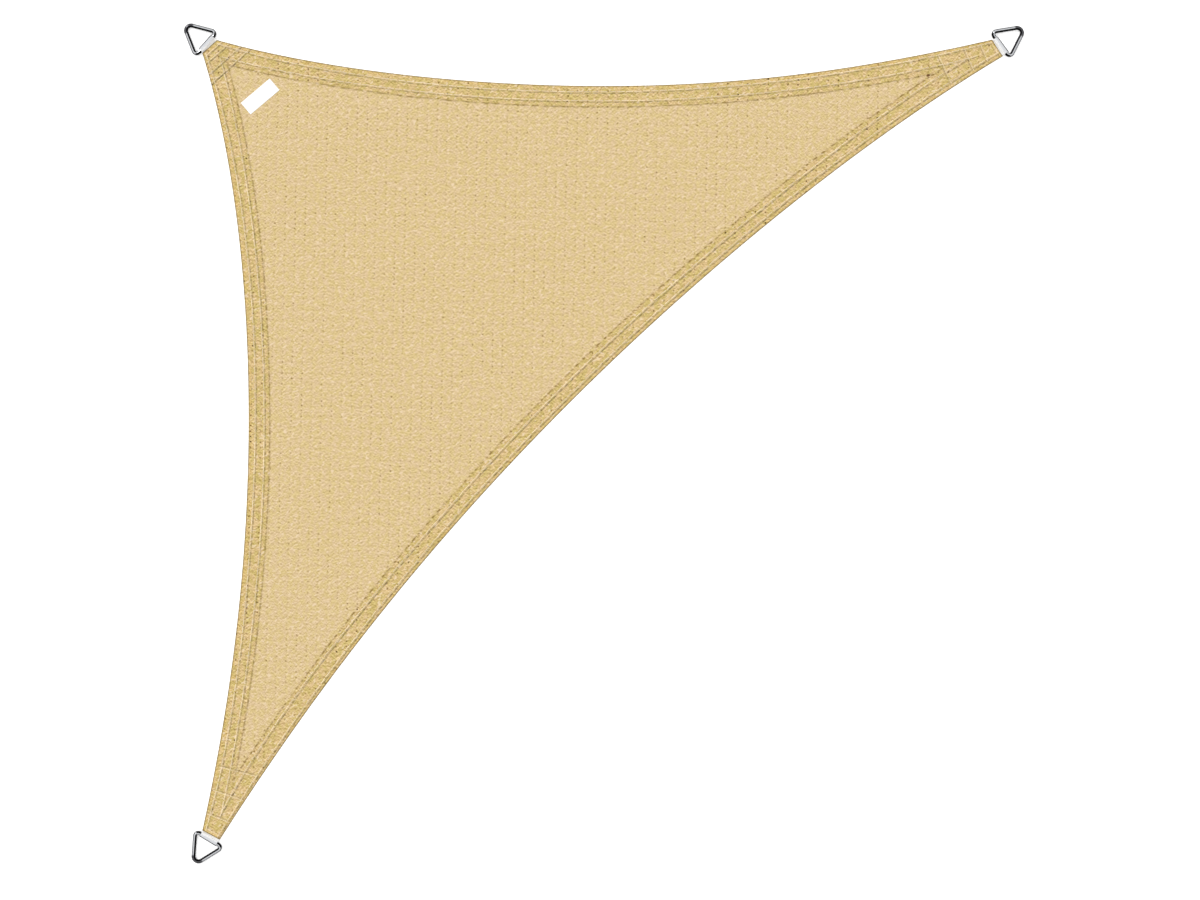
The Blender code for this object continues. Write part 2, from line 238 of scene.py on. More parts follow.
# %% [markdown]
# ## The shape of the cloth
# The cloth is one right-angled triangle with hollow edges. The numbers are those of the
# solids: the middle and direction of the cut across each corner, the depth of each hollow
# and the width of each hem. Every line that matters is a curve beside an edge, so one
# function that gives a point beside an edge is enough. A row of stitches wanders a few
# millimetres along its hem, as a long seam does, so its distance from the edge is a short
# table, one number for each of a dozen places along the edge.

# %% The cloth's measures, as in the solids
CLOTH = 0.00155
CORNER_EDGE = 0.047
CORNERS = {               # a cross row: from the cut, direction, short of the edges, depth
    "top_left": dict(
        at=(-0.9382, 0.9442), faces=132.0, points=138.3, slid=0.0019, inward=-48.0,
        rows=((0.014, 41.0, 0.004, 0.9), (0.028, 41.0, 0.0, 1.0), (0.051, 41.0, 0.0, 1.0),
              (0.071, 42.0, 0.0, 1.25))),
    "top_right": dict(
        at=(0.9361, 0.9411), faces=32.6, points=36.3, slid=0.0018, inward=203.0,
        rows=((0.010, -60.0, 0.013, 0.5), (0.037, -66.5, 0.007, 0.7),
              (0.076, -67.0, 0.007, 0.7), (0.138, -65.0, 0.007, 0.8))),
    "bottom_left": dict(
        at=(-0.9351, -0.9319), faces=242.0, points=238.8, slid=0.0005, inward=67.0,
        rows=((0.012, -26.0, 0.013, 0.5), (0.047, -21.7, 0.005, 0.7),
              (0.106, -18.8, 0.005, 0.7), (0.167, -14.7, 0.006, 0.8))),
}
EDGES = {
    "left": dict(start="top_left", end="bottom_left", hollow=0.1095, lean=0.11,
                 square=0.098, skew=0.068, hem=0.0505, thread=-0.0036,
                 deep=0.72, tuck=0.85),
    "slope": dict(start="bottom_left", end="top_right", hollow=0.1462, lean=0.0,
                  square=0.061, skew=-0.067, hem=0.0514, thread=0.0044,
                  deep=0.92, tuck=1.2),
    "top": dict(start="top_right", end="top_left", hollow=0.1095, lean=0.0,
                square=0.047, skew=-0.107, hem=0.0502, thread=-0.0036,
                deep=0.72, tuck=0.80),
}
STOPS = (0.0, 0.05, 0.10, 0.18, 0.25, 0.35, 0.50, 0.65, 0.75, 0.85, 0.93, 1.0)
ROWS = {                  # millimetres in from the edge at each stop: outer row, inner row
    "left": ((11.0, 13.1, 15.5, 17.8, 19.0, 20.2, 19.0, 17.2, 18.6, 19.0, 17.8, 11.5),
             (41.0, 39.3, 38.3, 38.1, 38.5, 39.5, 40.5, 40.3, 39.5, 39.3, 39.3, 38.5)),
    "slope": ((4.3, 5.6, 6.1, 7.1, 8.3, 8.3, 8.6, 9.5, 10.5, 10.7, 10.5, 9.0),
              (24.0, 33.8, 38.1, 39.0, 36.2, 33.8, 34.8, 32.6, 32.4, 34.8, 36.7, 34.0)),
    "top": ((9.8, 11.9, 13.1, 13.4, 14.3, 15.6, 17.8, 19.0, 18.8, 17.2, 15.5, 11.5),
            (31.0, 36.3, 37.4, 38.1, 38.1, 38.3, 39.2, 39.4, 39.4, 39.3, 39.3, 39.3)),
}
OVERRUN = 0.03            # a line beside an edge runs on past its ends by this share of it
CROSS_REACH = 0.16        # long enough for a cross row to leave the cloth on both sides
print(len(CORNERS), "corners,", len(EDGES), "edges")


# %% Curves along and beside an edge
def heading(degrees):
    angle = math.radians(degrees)
    return Vector((math.cos(angle), math.sin(angle)))


def left_of(vector):
    return Vector((-vector.y, vector.x))


def corner_ends(name):
    """The two ends of the cut across a corner, walking with the cloth on the left."""
    half = left_of(heading(CORNERS[name]["faces"])) * CORNER_EDGE / 2
    middle = Vector(CORNERS[name]["at"])
    return middle - half, middle + half


def edge_point(edge, along, inset=0.0):
    """A point of an edge's curve, 0 to 1 along it, moved straight into the cloth."""
    start = corner_ends(edge["start"])[1]
    run = corner_ends(edge["end"])[0] - start
    inward = left_of(run).normalized()
    arch = along * (1 - along)
    side = 1 - 2 * along
    lean, square, skew = edge["lean"], edge["square"], edge["skew"]
    shape = 1 + lean * side + square * side ** 2 + skew * side ** 3
    shape_rate = -2 * (lean + 2 * square * side + 3 * skew * side ** 2)
    bow = 4 * edge["hollow"] * arch * shape
    bow_rate = 4 * edge["hollow"] * (side * shape + arch * shape_rate)
    tangent = run + inward * bow_rate
    return start + run * along + inward * bow + left_of(tangent).normalized() * inset


def edge_line(edge, inset, spacing, overrun=0.0):
    """Points along an edge's curve, or along a line beside it, about this far apart."""
    length = (edge_point(edge, 1.0) - edge_point(edge, 0.0)).length
    pieces = math.ceil(length / spacing)
    stops = [i / pieces for i in range(pieces + 1)]
    if overrun:
        extra = math.ceil(overrun * pieces)
        before = [-overrun + overrun * i / extra for i in range(extra)]
        stops = before + stops + [1 - stop for stop in reversed(before)]
    if callable(inset):
        return [edge_point(edge, along, inset(along)) for along in stops]
    return [edge_point(edge, along, inset) for along in stops]


def row_inset(name, rank, shift=0.0):
    """How far in a row of stitches runs, as a function of the place along its edge."""
    table = [millimetres / 1000 for millimetres in ROWS[name][rank]]
    return lambda along: float(np.interp(along, STOPS, table)) + shift


def row_ends(corner, distance, degrees):
    """The two ends of a cross row's line."""
    middle = Vector(corner["at"]) + heading(corner["inward"]) * distance
    half = heading(degrees) * CROSS_REACH / 2
    return middle - half, middle + half


def outline(spacing):
    return [point for edge in EDGES.values() for point in edge_line(edge, 0.0, spacing)]


around = outline(0.01)
sides = [(a - b).length for a, b in zip(around, around[1:] + around[:1])]
print(f"the cloth is {sum(sides):.2f} m round its edge")


# %% Where a point lies beside a line
def beside(points, line):
    """How far each point is from a line, and how far along the line its foot is."""
    line = np.array([tuple(p) for p in line])
    nearest = np.full(len(points), np.inf)
    along = np.zeros(len(points))
    walked = 0.0
    for start, end in zip(line[:-1], line[1:]):
        run = end - start
        length = math.hypot(*run)
        share = np.clip((points - start) @ run / length ** 2, 0.0, 1.0)
        offset = points - start - share[:, None] * run
        distance = np.hypot(offset[:, 0], offset[:, 1])
        closer = distance < nearest
        nearest = np.where(closer, distance, nearest)
        along = np.where(closer, walked + share * length, along)
        walked += length
    return nearest, along


def inside(points, loop):
    """Which of the points lie inside a closed loop."""
    loop = np.array([tuple(p) for p in loop])
    result = np.zeros(len(points), dtype=bool)
    for start, end in zip(loop, np.roll(loop, -1, axis=0)):
        spans = (start[1] > points[:, 1]) != (end[1] > points[:, 1])
        rise = end[1] - start[1] if end[1] != start[1] else 1.0
        crossing = start[0] + (points[:, 1] - start[1]) * (end[0] - start[0]) / rise
        result ^= spans & (points[:, 0] < crossing)
    return result


middle_in = inside(np.array([[-0.5, 0.5], [0.5, -0.5]]), around)
print("a point of the cloth is inside:", middle_in[0], " one past the slope:", middle_in[1])

# %% [markdown]
# ## The relief of the cloth
# Shade cloth is knitted: rows of loops lean left and right in turn, and a small hole is
# left where the lean changes. A hem is a second layer with a rounded fold and a soft step
# at its inner edge. Each row of stitches pulls a crease into the layers, and the cloth
# bulges a little between one stitch and the next. All of this is low relief on one sheet,
# so it is written as one height for every point. The same walk over the points also notes
# where the hems, the creases and the folded edge are, for the finish to read.

# %% The measures of the relief
KNIT_ACROSS = 0.0238      # from one column of small holes to the next
KNIT_DOWN = 0.0127        # from one hole to the next in a column
KNIT_AT = (-0.0080, -0.0007)
KNIT_TURN = -1.2          # degrees from +X to the way across the columns
KNIT_RELIEF = 0.00012
HOLE_RADIUS = 0.0008
HOLE_DEPTH = 0.00035
STEP = 0.0022             # the rounded step at a hem's inner edge
FOLD = 0.0011             # the radius of the fold along a hem
GOLD_BAND = 0.0090        # the stretched cloth beside the fold is deeper in colour
CREASE = 0.0025           # half the width of a stitched crease
CREASE_DEPTH = 0.00045
STITCH = 0.0200           # from one stitch to the next in a hem
CROSS_STITCH = 0.0085     # and in the rows across a corner
BULGE = 0.00016
HEM_TACK = 0.0226         # from one tuck to the next along a hem's inner edge
HEM_WAVE = 0.0004
RIDGE = 0.0034            # half the width of the line along a hem's inner edge
RIDGE_OVERLAP = 0.006     # it runs this far into the next hem
BULGE_REACH = 0.006
ROW_MEETING = 0.004       # an inner row ends this far outside the next hem's inner row
TRIM_FADE = 0.003
RIDGE_SHARES = (0.70, 0.30)       # an even share, and one that follows the tucks
ROW_SHARES = (0.8, -0.2)          # the same for a hem's stitches
CROSS_SHARES = (0.74, -0.06)      # and for those across a corner
BULK_FROM = 0.024         # a corner's third layer starts to thin this far from its cut
BULK_FADE = 0.030
BULK_EDGE = 0.003         # and the cut's own edge is pressed flat
LABEL_LENGTH = 0.090
LABEL_WIDTH = 0.036
LABEL_AT = (-0.8185, 0.8258)
LABEL_TURN = 40.2
LABEL_CLEAR = 0.002       # the knit is pressed flat under the label and this far round it
COARSE = 0.012            # the step of a line that is only measured from
print(f"a layer is {CLOTH * 1000:.2f} mm thick, the knit's relief {KNIT_RELIEF * 1000:.2f} mm")

# %% The rows of stitches, and the places near them
def hem_rows():
    """Every row of stitches in the hems: its edge's name, its rank and its line."""
    return [(name, rank, edge_line(edge, row_inset(name, rank), COARSE))
            for name, edge in EDGES.items() for rank in (0, 1)]


def cross_rows():
    """Every row across a corner: the corner, its line, its trim and its depth."""
    return [(corner, row_ends(corner, row[0], row[1]), row[2], row[3])
            for corner in CORNERS.values() for row in corner["rows"]]


def line_length(line):
    return sum((b - a).length for a, b in zip(line[:-1], line[1:]))


def beside_box(points, line, margin=0.02):
    """Which points are near enough to a line to matter to it."""
    chord = np.array(tuple(line[-1] - line[0]))
    aside = np.array((-chord[1], chord[0])) / math.hypot(*chord)
    offset = (points - np.array(tuple(line[0]))) @ aside
    places = np.array([tuple(p - line[0]) for p in line]) @ aside
    return (offset > places.min() - margin) & (offset < places.max() + margin)


def shown_rows(points, insets, name, rank):
    """A hem's inner row stops where it meets the other hem's, at a corner."""
    shown = np.ones(len(points))
    if rank == 1:
        for other, inset in insets.items():
            if other != name:
                shown *= inset > np.mean(ROWS[other][1]) / 1000 - ROW_MEETING
    return shown


def edge_insets(points):
    """How far in each point lies from each edge, and how far along that edge."""
    return {name: beside(points, edge_line(edge, 0.0, COARSE, OVERRUN))
            for name, edge in EDGES.items()}


print("rows in the hems:", len(hem_rows()), " rows across the corners:", len(cross_rows()))


# %% The relief of the knit
def knit_place(points):
    """Each point's place in the knit, counted in columns and in holes of a column."""
    across = np.array(tuple(heading(KNIT_TURN)))
    offset = points - np.array(KNIT_AT)
    up = np.array((-across[1], across[0]))
    return offset @ across / KNIT_ACROSS, offset @ up / KNIT_DOWN


def knit_height(points):
    """The leaning rows of loops, with a dip at each small hole."""
    across, down = knit_place(points)
    lean = np.abs(across - np.round(across))
    waves = np.cos(2 * np.pi * (down + lean))
    hole = np.hypot(lean * KNIT_ACROSS, (down - np.round(down)) * KNIT_DOWN) < HOLE_RADIUS
    return waves * KNIT_RELIEF - hole * HOLE_DEPTH


def on_label(points):
    """Which points lie under the label, or just beside it."""
    long_way = heading(LABEL_TURN)
    offset = points - np.array(LABEL_AT)
    along = offset @ np.array(long_way)
    across = offset @ np.array(left_of(long_way))
    return ((abs(along) < LABEL_LENGTH / 2 + LABEL_CLEAR)
            & (abs(across) < LABEL_WIDTH / 2 + LABEL_CLEAR))


print("a hole every", KNIT_DOWN, "m in columns", KNIT_ACROSS, "m apart")


# %% What each hem, row and corner adds to a point
def rise(values):
    """A soft step: 0 up to 0, and 1 from 1 on."""
    values = np.clip(values, 0, 1)
    return values ** 2 * (3 - 2 * values)


def falloff(distance, reach):
    """1 on a line, falling evenly to 0 at its reach."""
    return np.clip(1 - distance / reach, 0, 1)


def hem_fields(points, beside_edges, insets):
    """For each point: how much it is hem, rounded off, folded cloth and a hem's edge."""
    hems, lost, fold, ridge = np.zeros((4, len(points)))
    for name, (inset, along) in beside_edges.items():
        phase = np.cos(2 * np.pi * along / HEM_TACK)
        width = EDGES[name]["hem"]
        hems = np.maximum(hems, rise(0.5 + (width + HEM_WAVE * phase - inset) / STEP))
        rounded = np.sqrt(np.clip(1 - falloff(inset, FOLD) ** 2, 0, 1))
        lost = np.maximum(lost, (1 - rounded) * CLOTH)
        fold = np.maximum(fold, falloff(inset, GOLD_BAND))
        line = falloff(abs(inset - width), RIDGE)
        others = [insets[other] - EDGES[other]["hem"] for other in EDGES if other != name]
        line *= np.minimum(*others) > -RIDGE_OVERLAP
        tucks = RIDGE_SHARES[0] + RIDGE_SHARES[1] * phase
        ridge = np.maximum(ridge, line * tucks * EDGES[name]["tuck"])
    return hems, lost, fold, ridge


def row_fields(points, insets):
    """For each point: how deep a hem's stitches pull it in, and how much it bulges."""
    crease, bulge = np.zeros((2, len(points)))
    for name, rank, line in hem_rows():
        near = np.flatnonzero(beside_box(points, line))
        distance, along = beside(points[near], line)
        pitch = line_length(line) / round(line_length(line) / STITCH)
        phase = np.cos(2 * np.pi * along / pitch)
        shown = shown_rows(points[near], {k: v[near] for k, v in insets.items()}, name, rank)
        depth = falloff(distance, CREASE) * shown * EDGES[name]["deep"]
        deep = ROW_SHARES[0] + ROW_SHARES[1] * phase
        crease[near] = np.maximum(crease[near], depth * deep)
        bulge[near] -= phase * np.exp(-(distance / BULGE_REACH) ** 2) * BULGE * shown
    return crease, bulge


def cross_fields(points, nearest):
    """For each point: how deep the rows across the corners pull it in."""
    crease = np.zeros(len(points))
    for _, (start, end), trim, strength in cross_rows():
        distance, along = beside(points, [start, end])
        phase = np.cos(2 * np.pi * along / CROSS_STITCH)
        depth = falloff(distance, CREASE) * strength
        depth *= rise((nearest - trim) / TRIM_FADE + 0.5) if trim else 1.0
        crease = np.maximum(crease, depth * (CROSS_SHARES[0] + CROSS_SHARES[1] * phase))
    return crease


def corner_fields(points):
    """For each point: a corner's third layer, its folded edge and how much relief is left."""
    bulk, fold = np.zeros((2, len(points)))
    relief = np.ones(len(points))
    for corner in CORNERS.values():
        inward = -np.array(tuple(heading(corner["faces"])))
        depth = (points - np.array(corner["at"])) @ inward
        bulk = np.maximum(bulk, 1 - rise((depth - BULK_FROM) / BULK_FADE))
        relief = np.minimum(relief, rise(depth / BULK_EDGE))
        fold = np.maximum(fold, falloff(depth, GOLD_BAND))
    return bulk, fold, relief


# %% One height and four masks for every point
def cloth_fields(points):
    """For each point: its height, and how much it is hem, crease, hem's edge and fold."""
    beside_edges = edge_insets(points)
    insets = {name: inset for name, (inset, _) in beside_edges.items()}
    nearest = np.minimum.reduce(list(insets.values()))
    hems, lost, edge_fold, ridge = hem_fields(points, beside_edges, insets)
    row_crease, bulge = row_fields(points, insets)
    bulk, cut_fold, relief = corner_fields(points)
    crease = np.maximum(row_crease, cross_fields(points, nearest))
    relief = relief * ~on_label(points)
    height = (1 + hems + bulk) * CLOTH - lost
    height += (bulge + knit_height(points) - np.minimum(crease, 1) * CREASE_DEPTH) * relief
    return dict(height=height, hem=hems, crease=crease, ridge=ridge,
                fold=np.maximum(edge_fold, cut_fold))


middle_of_field = cloth_fields(np.array([[-0.4, 0.4]]))
print("height in the middle of the field:", round(float(middle_of_field["height"][0]), 5), "m")

# %% [markdown]
# ## One sheet of cloth
# The sheet's points are a fine grid in step with the knit, and closer points along every
# fold, crease and step. A triangulation that keeps those lines as edges joins them. The
# under side is flat. Each cut corner is open in the middle, where the webbing goes in
# between the layers, so its end wall is drawn as a flat figure with a hole in it.

# %% Triangles between given lines
MERGE = 1e-5              # points closer than this become one


def ring_edges(count, first=0):
    """The edges of a closed loop of points, numbered from the first."""
    return [(first + i, first + (i + 1) % count) for i in range(count)]


def triangles(loop, lines=(), loose=()):
    """Triangles inside a loop that keep the loop and every line as edges."""
    points = [Vector(p) for p in loop]
    edges = ring_edges(len(points))
    for line in lines:
        first = len(points)
        points += line
        edges += [(i, i + 1) for i in range(first, len(points) - 1)]
    points += [Vector(p) for p in loose]
    found, _, faces, *_ = delaunay_2d_cdt(points, edges, [], 0, MERGE)
    places = np.array([tuple(p) for p in found])
    middles = places[np.array([list(face) for face in faces])].mean(axis=1)
    keep = inside(middles, loop)
    return places, [list(face) for face, wanted in zip(faces, keep) if wanted]


square = [(0, 0), (1, 0), (1, 1), (0, 1)]
print("a square in", len(triangles(square)[1]), "triangles,",
      len(triangles(square, loose=[(0.5, 0.5)])[1]), "with a point in its middle")

# %% The lines that the sheet keeps as edges
LINE_STEP = 0.0052
FOLD_PROFILE = (0.25, 0.6, 1.0)   # places on a fold's round, as shares of its radius
BESIDE_FOLD = 0.0042
CREASE_PROFILE = (-1.0, -0.5, 0.0, 0.5, 1.0)
CROSS_PIECES = 38


def cloth_lines():
    """The lines along the folds, creases and steps, and the rows across the corners."""
    lines = []
    for name, edge in EDGES.items():
        insets = [FOLD * share for share in FOLD_PROFILE] + [BESIDE_FOLD]
        insets += [edge["hem"] + shift for shift in (-RIDGE, -STEP / 2, 0.0, STEP / 2, RIDGE)]
        insets += [row_inset(name, rank, CREASE * share)
                   for rank in (0, 1) for share in CREASE_PROFILE]
        lines += [edge_line(edge, inset, LINE_STEP, OVERRUN) for inset in insets]
    for _, (start, end), _, _ in cross_rows():
        aside = left_of((end - start).normalized()) * CREASE
        stops = [start.lerp(end, i / CROSS_PIECES) for i in range(CROSS_PIECES + 1)]
        lines += [[p + aside * share for p in stops] for share in CREASE_PROFILE]
    return lines


lines = cloth_lines()
print(len(lines), "lines on the sheet")

# %% The grid between the lines, and the whole sheet in triangles
GRID_REACH = 1.1          # past the farthest corner
GRID_SHARES = (4, 3)      # points to a column of the knit, and to a hole
GRID_BORDER = 0.02
CLEAR = 0.0022            # no grid point is as close as this to a line
DENSE = 0.0018


def dense(line):
    """The same line with points close together."""
    for start, end in zip(line[:-1], line[1:]):
        count = max(1, math.ceil((end - start).length / DENSE))
        for i in range(count):
            yield start.lerp(end, i / count)


def grid_stops(pitch, shares):
    return np.arange(round(-GRID_REACH / pitch) * shares,
                     round(GRID_REACH / pitch) * shares) / shares


def knit_grid(lines):
    """Grid points in step with the knit that keep clear of the lines."""
    across = grid_stops(KNIT_ACROSS, GRID_SHARES[0])
    down = grid_stops(KNIT_DOWN, GRID_SHARES[1])
    x, y = np.meshgrid(across * KNIT_ACROSS, down * KNIT_DOWN)
    way = np.array(tuple(heading(KNIT_TURN)))
    points = x.ravel()[:, None] * way + y.ravel()[:, None] * np.array((-way[1], way[0]))
    points += KNIT_AT
    points = points[inside(points, outline(GRID_BORDER))]
    taken = {(round(p.x / CLEAR), round(p.y / CLEAR)) for line in lines for p in dense(line)}
    free = [not any((i + a, j + b) in taken for a in (-1, 0, 1) for b in (-1, 0, 1))
            for i, j in np.round(points / CLEAR).astype(int)]
    return points[np.array(free)]


border = outline(LINE_STEP)
grid = knit_grid([*lines, border])
places, faces = triangles(border, lines, grid)
print(f"{len(grid)} grid points, {len(places)} points, {len(faces)} triangles on top")


# %% Helpers that turn numbers into a piece
def piece(name, points, polygons, finish, fields=(), sharp=45.0):
    """A smooth piece with its faces outwards, riding on the sail's one body."""
    mesh = bpy.data.meshes.new(name)
    mesh.from_pydata([tuple(p) for p in points], [], polygons)
    for key, values in dict(fields).items():
        made = mesh.attributes.new(key, "FLOAT", "POINT")
        made.data.foreach_set("value", np.asarray(values, np.float32))
    shell = bmesh.new()
    shell.from_mesh(mesh)
    bmesh.ops.recalc_face_normals(shell, faces=shell.faces[:])
    shell.to_mesh(mesh)
    shell.free()
    mesh.shade_smooth()
    mesh.set_sharp_from_angle(angle=math.radians(sharp))
    mesh.materials.append(finish)
    made = add_object(name, mesh)
    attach(made, "root")
    return made


def quads(rows, count, close_rows=False, close=True):
    """Quads between rows of points, where the rows and each row are open or closed."""
    return [[row * count + k, row * count + (k + 1) % count,
             (row + 1) % rows * count + (k + 1) % count, (row + 1) % rows * count + k]
            for row in range(rows if close_rows else rows - 1)
            for k in range(count if close else count - 1)]


def triangle_count(thing):
    return sum(len(polygon.vertices) - 2 for polygon in thing.data.polygons)


def boundary_loop(polygons):
    """The open edges of a set of faces, as one loop of point numbers."""
    sides = {(a, b) for face in polygons for a, b in zip(face, face[1:] + face[:1])}
    following = {a: b for a, b in sides if (b, a) not in sides}
    loop = [next(iter(following))]
    while following[loop[-1]] != loop[0]:
        loop.append(following[loop[-1]])
    return loop


print("two rows of four points give", len(quads(2, 4)), "quads when the rows are closed")

# %% The slot between the layers of a cut corner
STRAP_WIDTH = 0.044
STRAP_THICK = 0.0012
STRAP_TUCK = 0.020
GAP = 0.0003
CORNER_THICK = 3 * CLOTH
SLOT_HEIGHT = 2 * STRAP_THICK + 3 * GAP
SLOT_LOW = (CORNER_THICK - SLOT_HEIGHT) / 2
WALL_MERGE = 1e-7
print(f"the slot is {SLOT_HEIGHT * 1000:.1f} mm high in {CORNER_THICK * 1000:.2f} mm of layers")


def cut_wall(name, loop, points, polygons, top_of, under_of):
    """The end wall of a corner, with the slot and the room behind it."""
    start, end = corner_ends(name)
    run = (end - start).normalized()
    offsets = {i: Vector(places[i]) - start for i in loop}
    on_cut = sorted((run.dot(offset), i) for i, offset in offsets.items()
                    if abs(left_of(run).dot(offset)) < 2 * MERGE
                    and -MERGE < run.dot(offset) < CORNER_EDGE + MERGE)
    low = [Vector((far, 0.0)) for far, _ in on_cut]
    high = [Vector((far, points[top_of[i]][2])) for far, i in on_cut]
    half = STRAP_WIDTH / 2 + GAP
    sides = (CORNER_EDGE / 2 - half, CORNER_EDGE / 2 + half)
    heights = (SLOT_LOW, SLOT_LOW + SLOT_HEIGHT)
    slot = [Vector((sides[i], heights[j])) for i, j in ((0, 0), (1, 0), (1, 1), (0, 1))]
    wall = low + high[::-1]
    found, _, cells, *_ = delaunay_2d_cdt(
        wall + slot, ring_edges(len(wall)) + ring_edges(4, len(wall)), [], 0, WALL_MERGE)
    flat = np.array([tuple(p) for p in found])
    middles = np.array([flat[list(cell)].mean(axis=0) for cell in cells])
    keep = inside(middles, wall) & ~inside(middles, slot)
    numbers = [under_of[i] for _, i in on_cut] + [top_of[i] for _, i in on_cut][::-1]
    mouth = [len(points) + k for k in range(8)]
    points += [(*(start + run * p.x + left_of(run) * depth), p.y)
               for depth in (0.0, STRAP_TUCK + GAP) for p in slot]
    numbers += mouth[:4]
    polygons += [[numbers[i] for i in cell] for cell, kept in zip(cells, keep) if kept]
    polygons += [[mouth[i], mouth[j], mouth[4 + j], mouth[4 + i]] for i, j in ring_edges(4)]
    polygons.append(mouth[4:])
    return {i for _, i in on_cut}


# %% [markdown]
# ## The knit's finish
# Shade cloth is knitted from flat tape and round yarn. Every loop could be modelled, but in
# the picture it is only a few pixels, so the loops are drawn in the colour: soft strokes in
# each cell of the knit, noise drawn out into short strokes both ways, and a dark dot at each
# hole. A stroke gets its light and shade by taking away the same noise a little higher up.

# %% The knit's colours and the sizes of its marks
FIELD_WARM = linear(202, 177, 136)
FIELD_GREEN = linear(199, 176, 122)
HEM_WARM = linear(200, 172, 122)
HEM_GREEN = linear(187, 165, 99)
HEM_GOLD = linear(200, 169, 100)
# painted shade: the creases pulled in by the stitches are darkened in the colour
CREASE_SHADE = linear(84, 74, 58)
# painted shadow: a dark line along each hem's inner edge, where its step casts one
RIDGE_SHADOW = linear(128, 102, 40)
# painted shade: a dark line along the folded outer edge, where the fold turns from the light
FOLD_EDGE_SHADE = linear(94, 76, 42)
FLECK_TONE = linear(219, 197, 163)
DOT_SIZE = (0.0020, 0.0022)       # half a small hole's width and height
DOT_WANDER = (0.08, 0.12)         # shares of a column and of a hole's pitch
DOT_FADE = (0.2, 1.5)             # shares of its size between which a dot fades out
DOT_PATCHES = (0.21, 0.11, 0.0)   # how fast the dots change from clear to faint
DOT_SHADE = 0.62
STROKE_SHADE = 0.35
STROKE_FADE = 1.6         # a soft stroke ends at the root of this, in its half widths
CELL_SHIFT = 0.45         # the strokes' cells start this share of a column off the holes
STROKE_LEANS = ((38.0, 0.0027, 0.0014), (-34.0, 0.0027, 0.0014))
LIT_FROM = 0.0034         # each stroke is lit from above: its shade falls this far below it
SHADE_POWERS = (0.84, 1.0, 1.40)  # shaded yarn is more yellow, as light bounces inside it
KNIT_STROKES = (          # shares of a cell: from, to, half width in metres, amount
    ((0.80, 0.45), (0.53, 0.75), 0.0020, 0.130),
    ((0.53, 0.75), (0.62, 0.95), 0.0018, 0.110),
    ((0.05, 0.20), (0.90, 0.28), 0.0036, 0.025),
    ((0.85, 0.66), (0.25, 0.90), 0.0040, -0.055),
    ((0.80, 0.00), (0.86, 0.10), 0.0018, -0.090),
)
print(len(KNIT_STROKES), "soft strokes in a cell of the knit")

# %% Places in the knit, as the shader sees them
def knit_lattice(knit, place):
    """The place in the knit, counted as in the relief."""
    at = knit.node("ShaderNodeVectorMath", [place, (*KNIT_AT, 0.0)], operation="SUBTRACT")
    parts = knit.node("ShaderNodeSeparateXYZ", [knit.turned(at.outputs[0], -KNIT_TURN)])
    return (knit.math("DIVIDE", parts.outputs["X"], KNIT_ACROSS),
            knit.math("DIVIDE", parts.outputs["Y"], KNIT_DOWN))


def nearest_off(knit, value, centre):
    """How far a value is from the nearest whole number past the centre, with its sign."""
    moved = knit.math("FRACT", knit.math("SUBTRACT", value, centre - 0.5))
    return knit.math("SUBTRACT", moved, 0.5)


print("a column of the knit is", KNIT_ACROSS, "m wide in the shader too")


# %% The dots and the strokes of one cell
def knit_dots(knit, across, down):
    """A small hole at every crossing, each with its own size and darkness."""
    numbers = knit.node("ShaderNodeCombineXYZ", [
        knit.math("ROUND", across), knit.math("ROUND", down)]).outputs[0]
    chance = knit.node("ShaderNodeTexWhiteNoise", [numbers], noise_dimensions="3D")
    own = knit.node("ShaderNodeSeparateColor", [chance.outputs["Color"]]).outputs
    aside, below = [knit.math("MULTIPLY_ADD", own[i], DOT_WANDER[i],
                              nearest_off(knit, value, DOT_WANDER[i] / 2))
                    for i, value in enumerate((across, down))]
    aside = knit.math("MULTIPLY", aside, KNIT_ACROSS / DOT_SIZE[0])
    below = knit.math("MULTIPLY", below, KNIT_DOWN / DOT_SIZE[1])
    apart = knit.math("SQRT", knit.math(
        "ADD", knit.math("POWER", aside, 2.0), knit.math("POWER", below, 2.0)))
    dot = knit.ramp(apart, *DOT_FADE, 1.0, 0.0)
    place = knit.node("ShaderNodeVectorMath", [numbers, DOT_PATCHES], operation="MULTIPLY")
    darkening = knit.ramp(knit.noise(place.outputs[0], 1.0), 0.35, 0.65, 0.40, 1.0)
    return knit.math("MULTIPLY", dot, knit.math("MULTIPLY", darkening, knit.ramp(
        own[2], 0.0, 1.0, 0.2, 1.0)))


def knit_stroke(knit, across, down, start, end, half_width, amount):
    """One soft line in every cell of the knit, a cell being two holes tall."""
    size = (KNIT_ACROSS, 2 * KNIT_DOWN)
    middle = [(a + b) / 2 for a, b in zip(start, end)]
    run = [(b - a) * s for a, b, s in zip(start, end, size)]
    length = math.hypot(*run)
    way = [c / length for c in run]
    x = knit.math("MULTIPLY", nearest_off(knit, across, middle[0] - CELL_SHIFT), size[0])
    v = knit.math("MULTIPLY", down, -0.5)
    y = knit.math("MULTIPLY", nearest_off(knit, v, middle[1]), size[1])
    half_length = length / 2 + half_width
    along = knit.math("MULTIPLY_ADD", x, way[0] / half_length,
                      knit.math("MULTIPLY", y, way[1] / half_length))
    aside = knit.math("MULTIPLY_ADD", x, -way[1] / half_width,
                      knit.math("MULTIPLY", y, way[0] / half_width))
    apart = knit.math("ADD", knit.math("POWER", along, 2.0), knit.math("POWER", aside, 2.0))
    return knit.ramp(apart, 0.0, STROKE_FADE, amount, 0.0)


print(f"a dot is about {2 * DOT_SIZE[0] * 1000:.0f} mm wide")


# %% The whole finish
def total(knit, values):
    summed = values[0]
    for value in values[1:]:
        summed = knit.math("ADD", summed, value)
    return summed


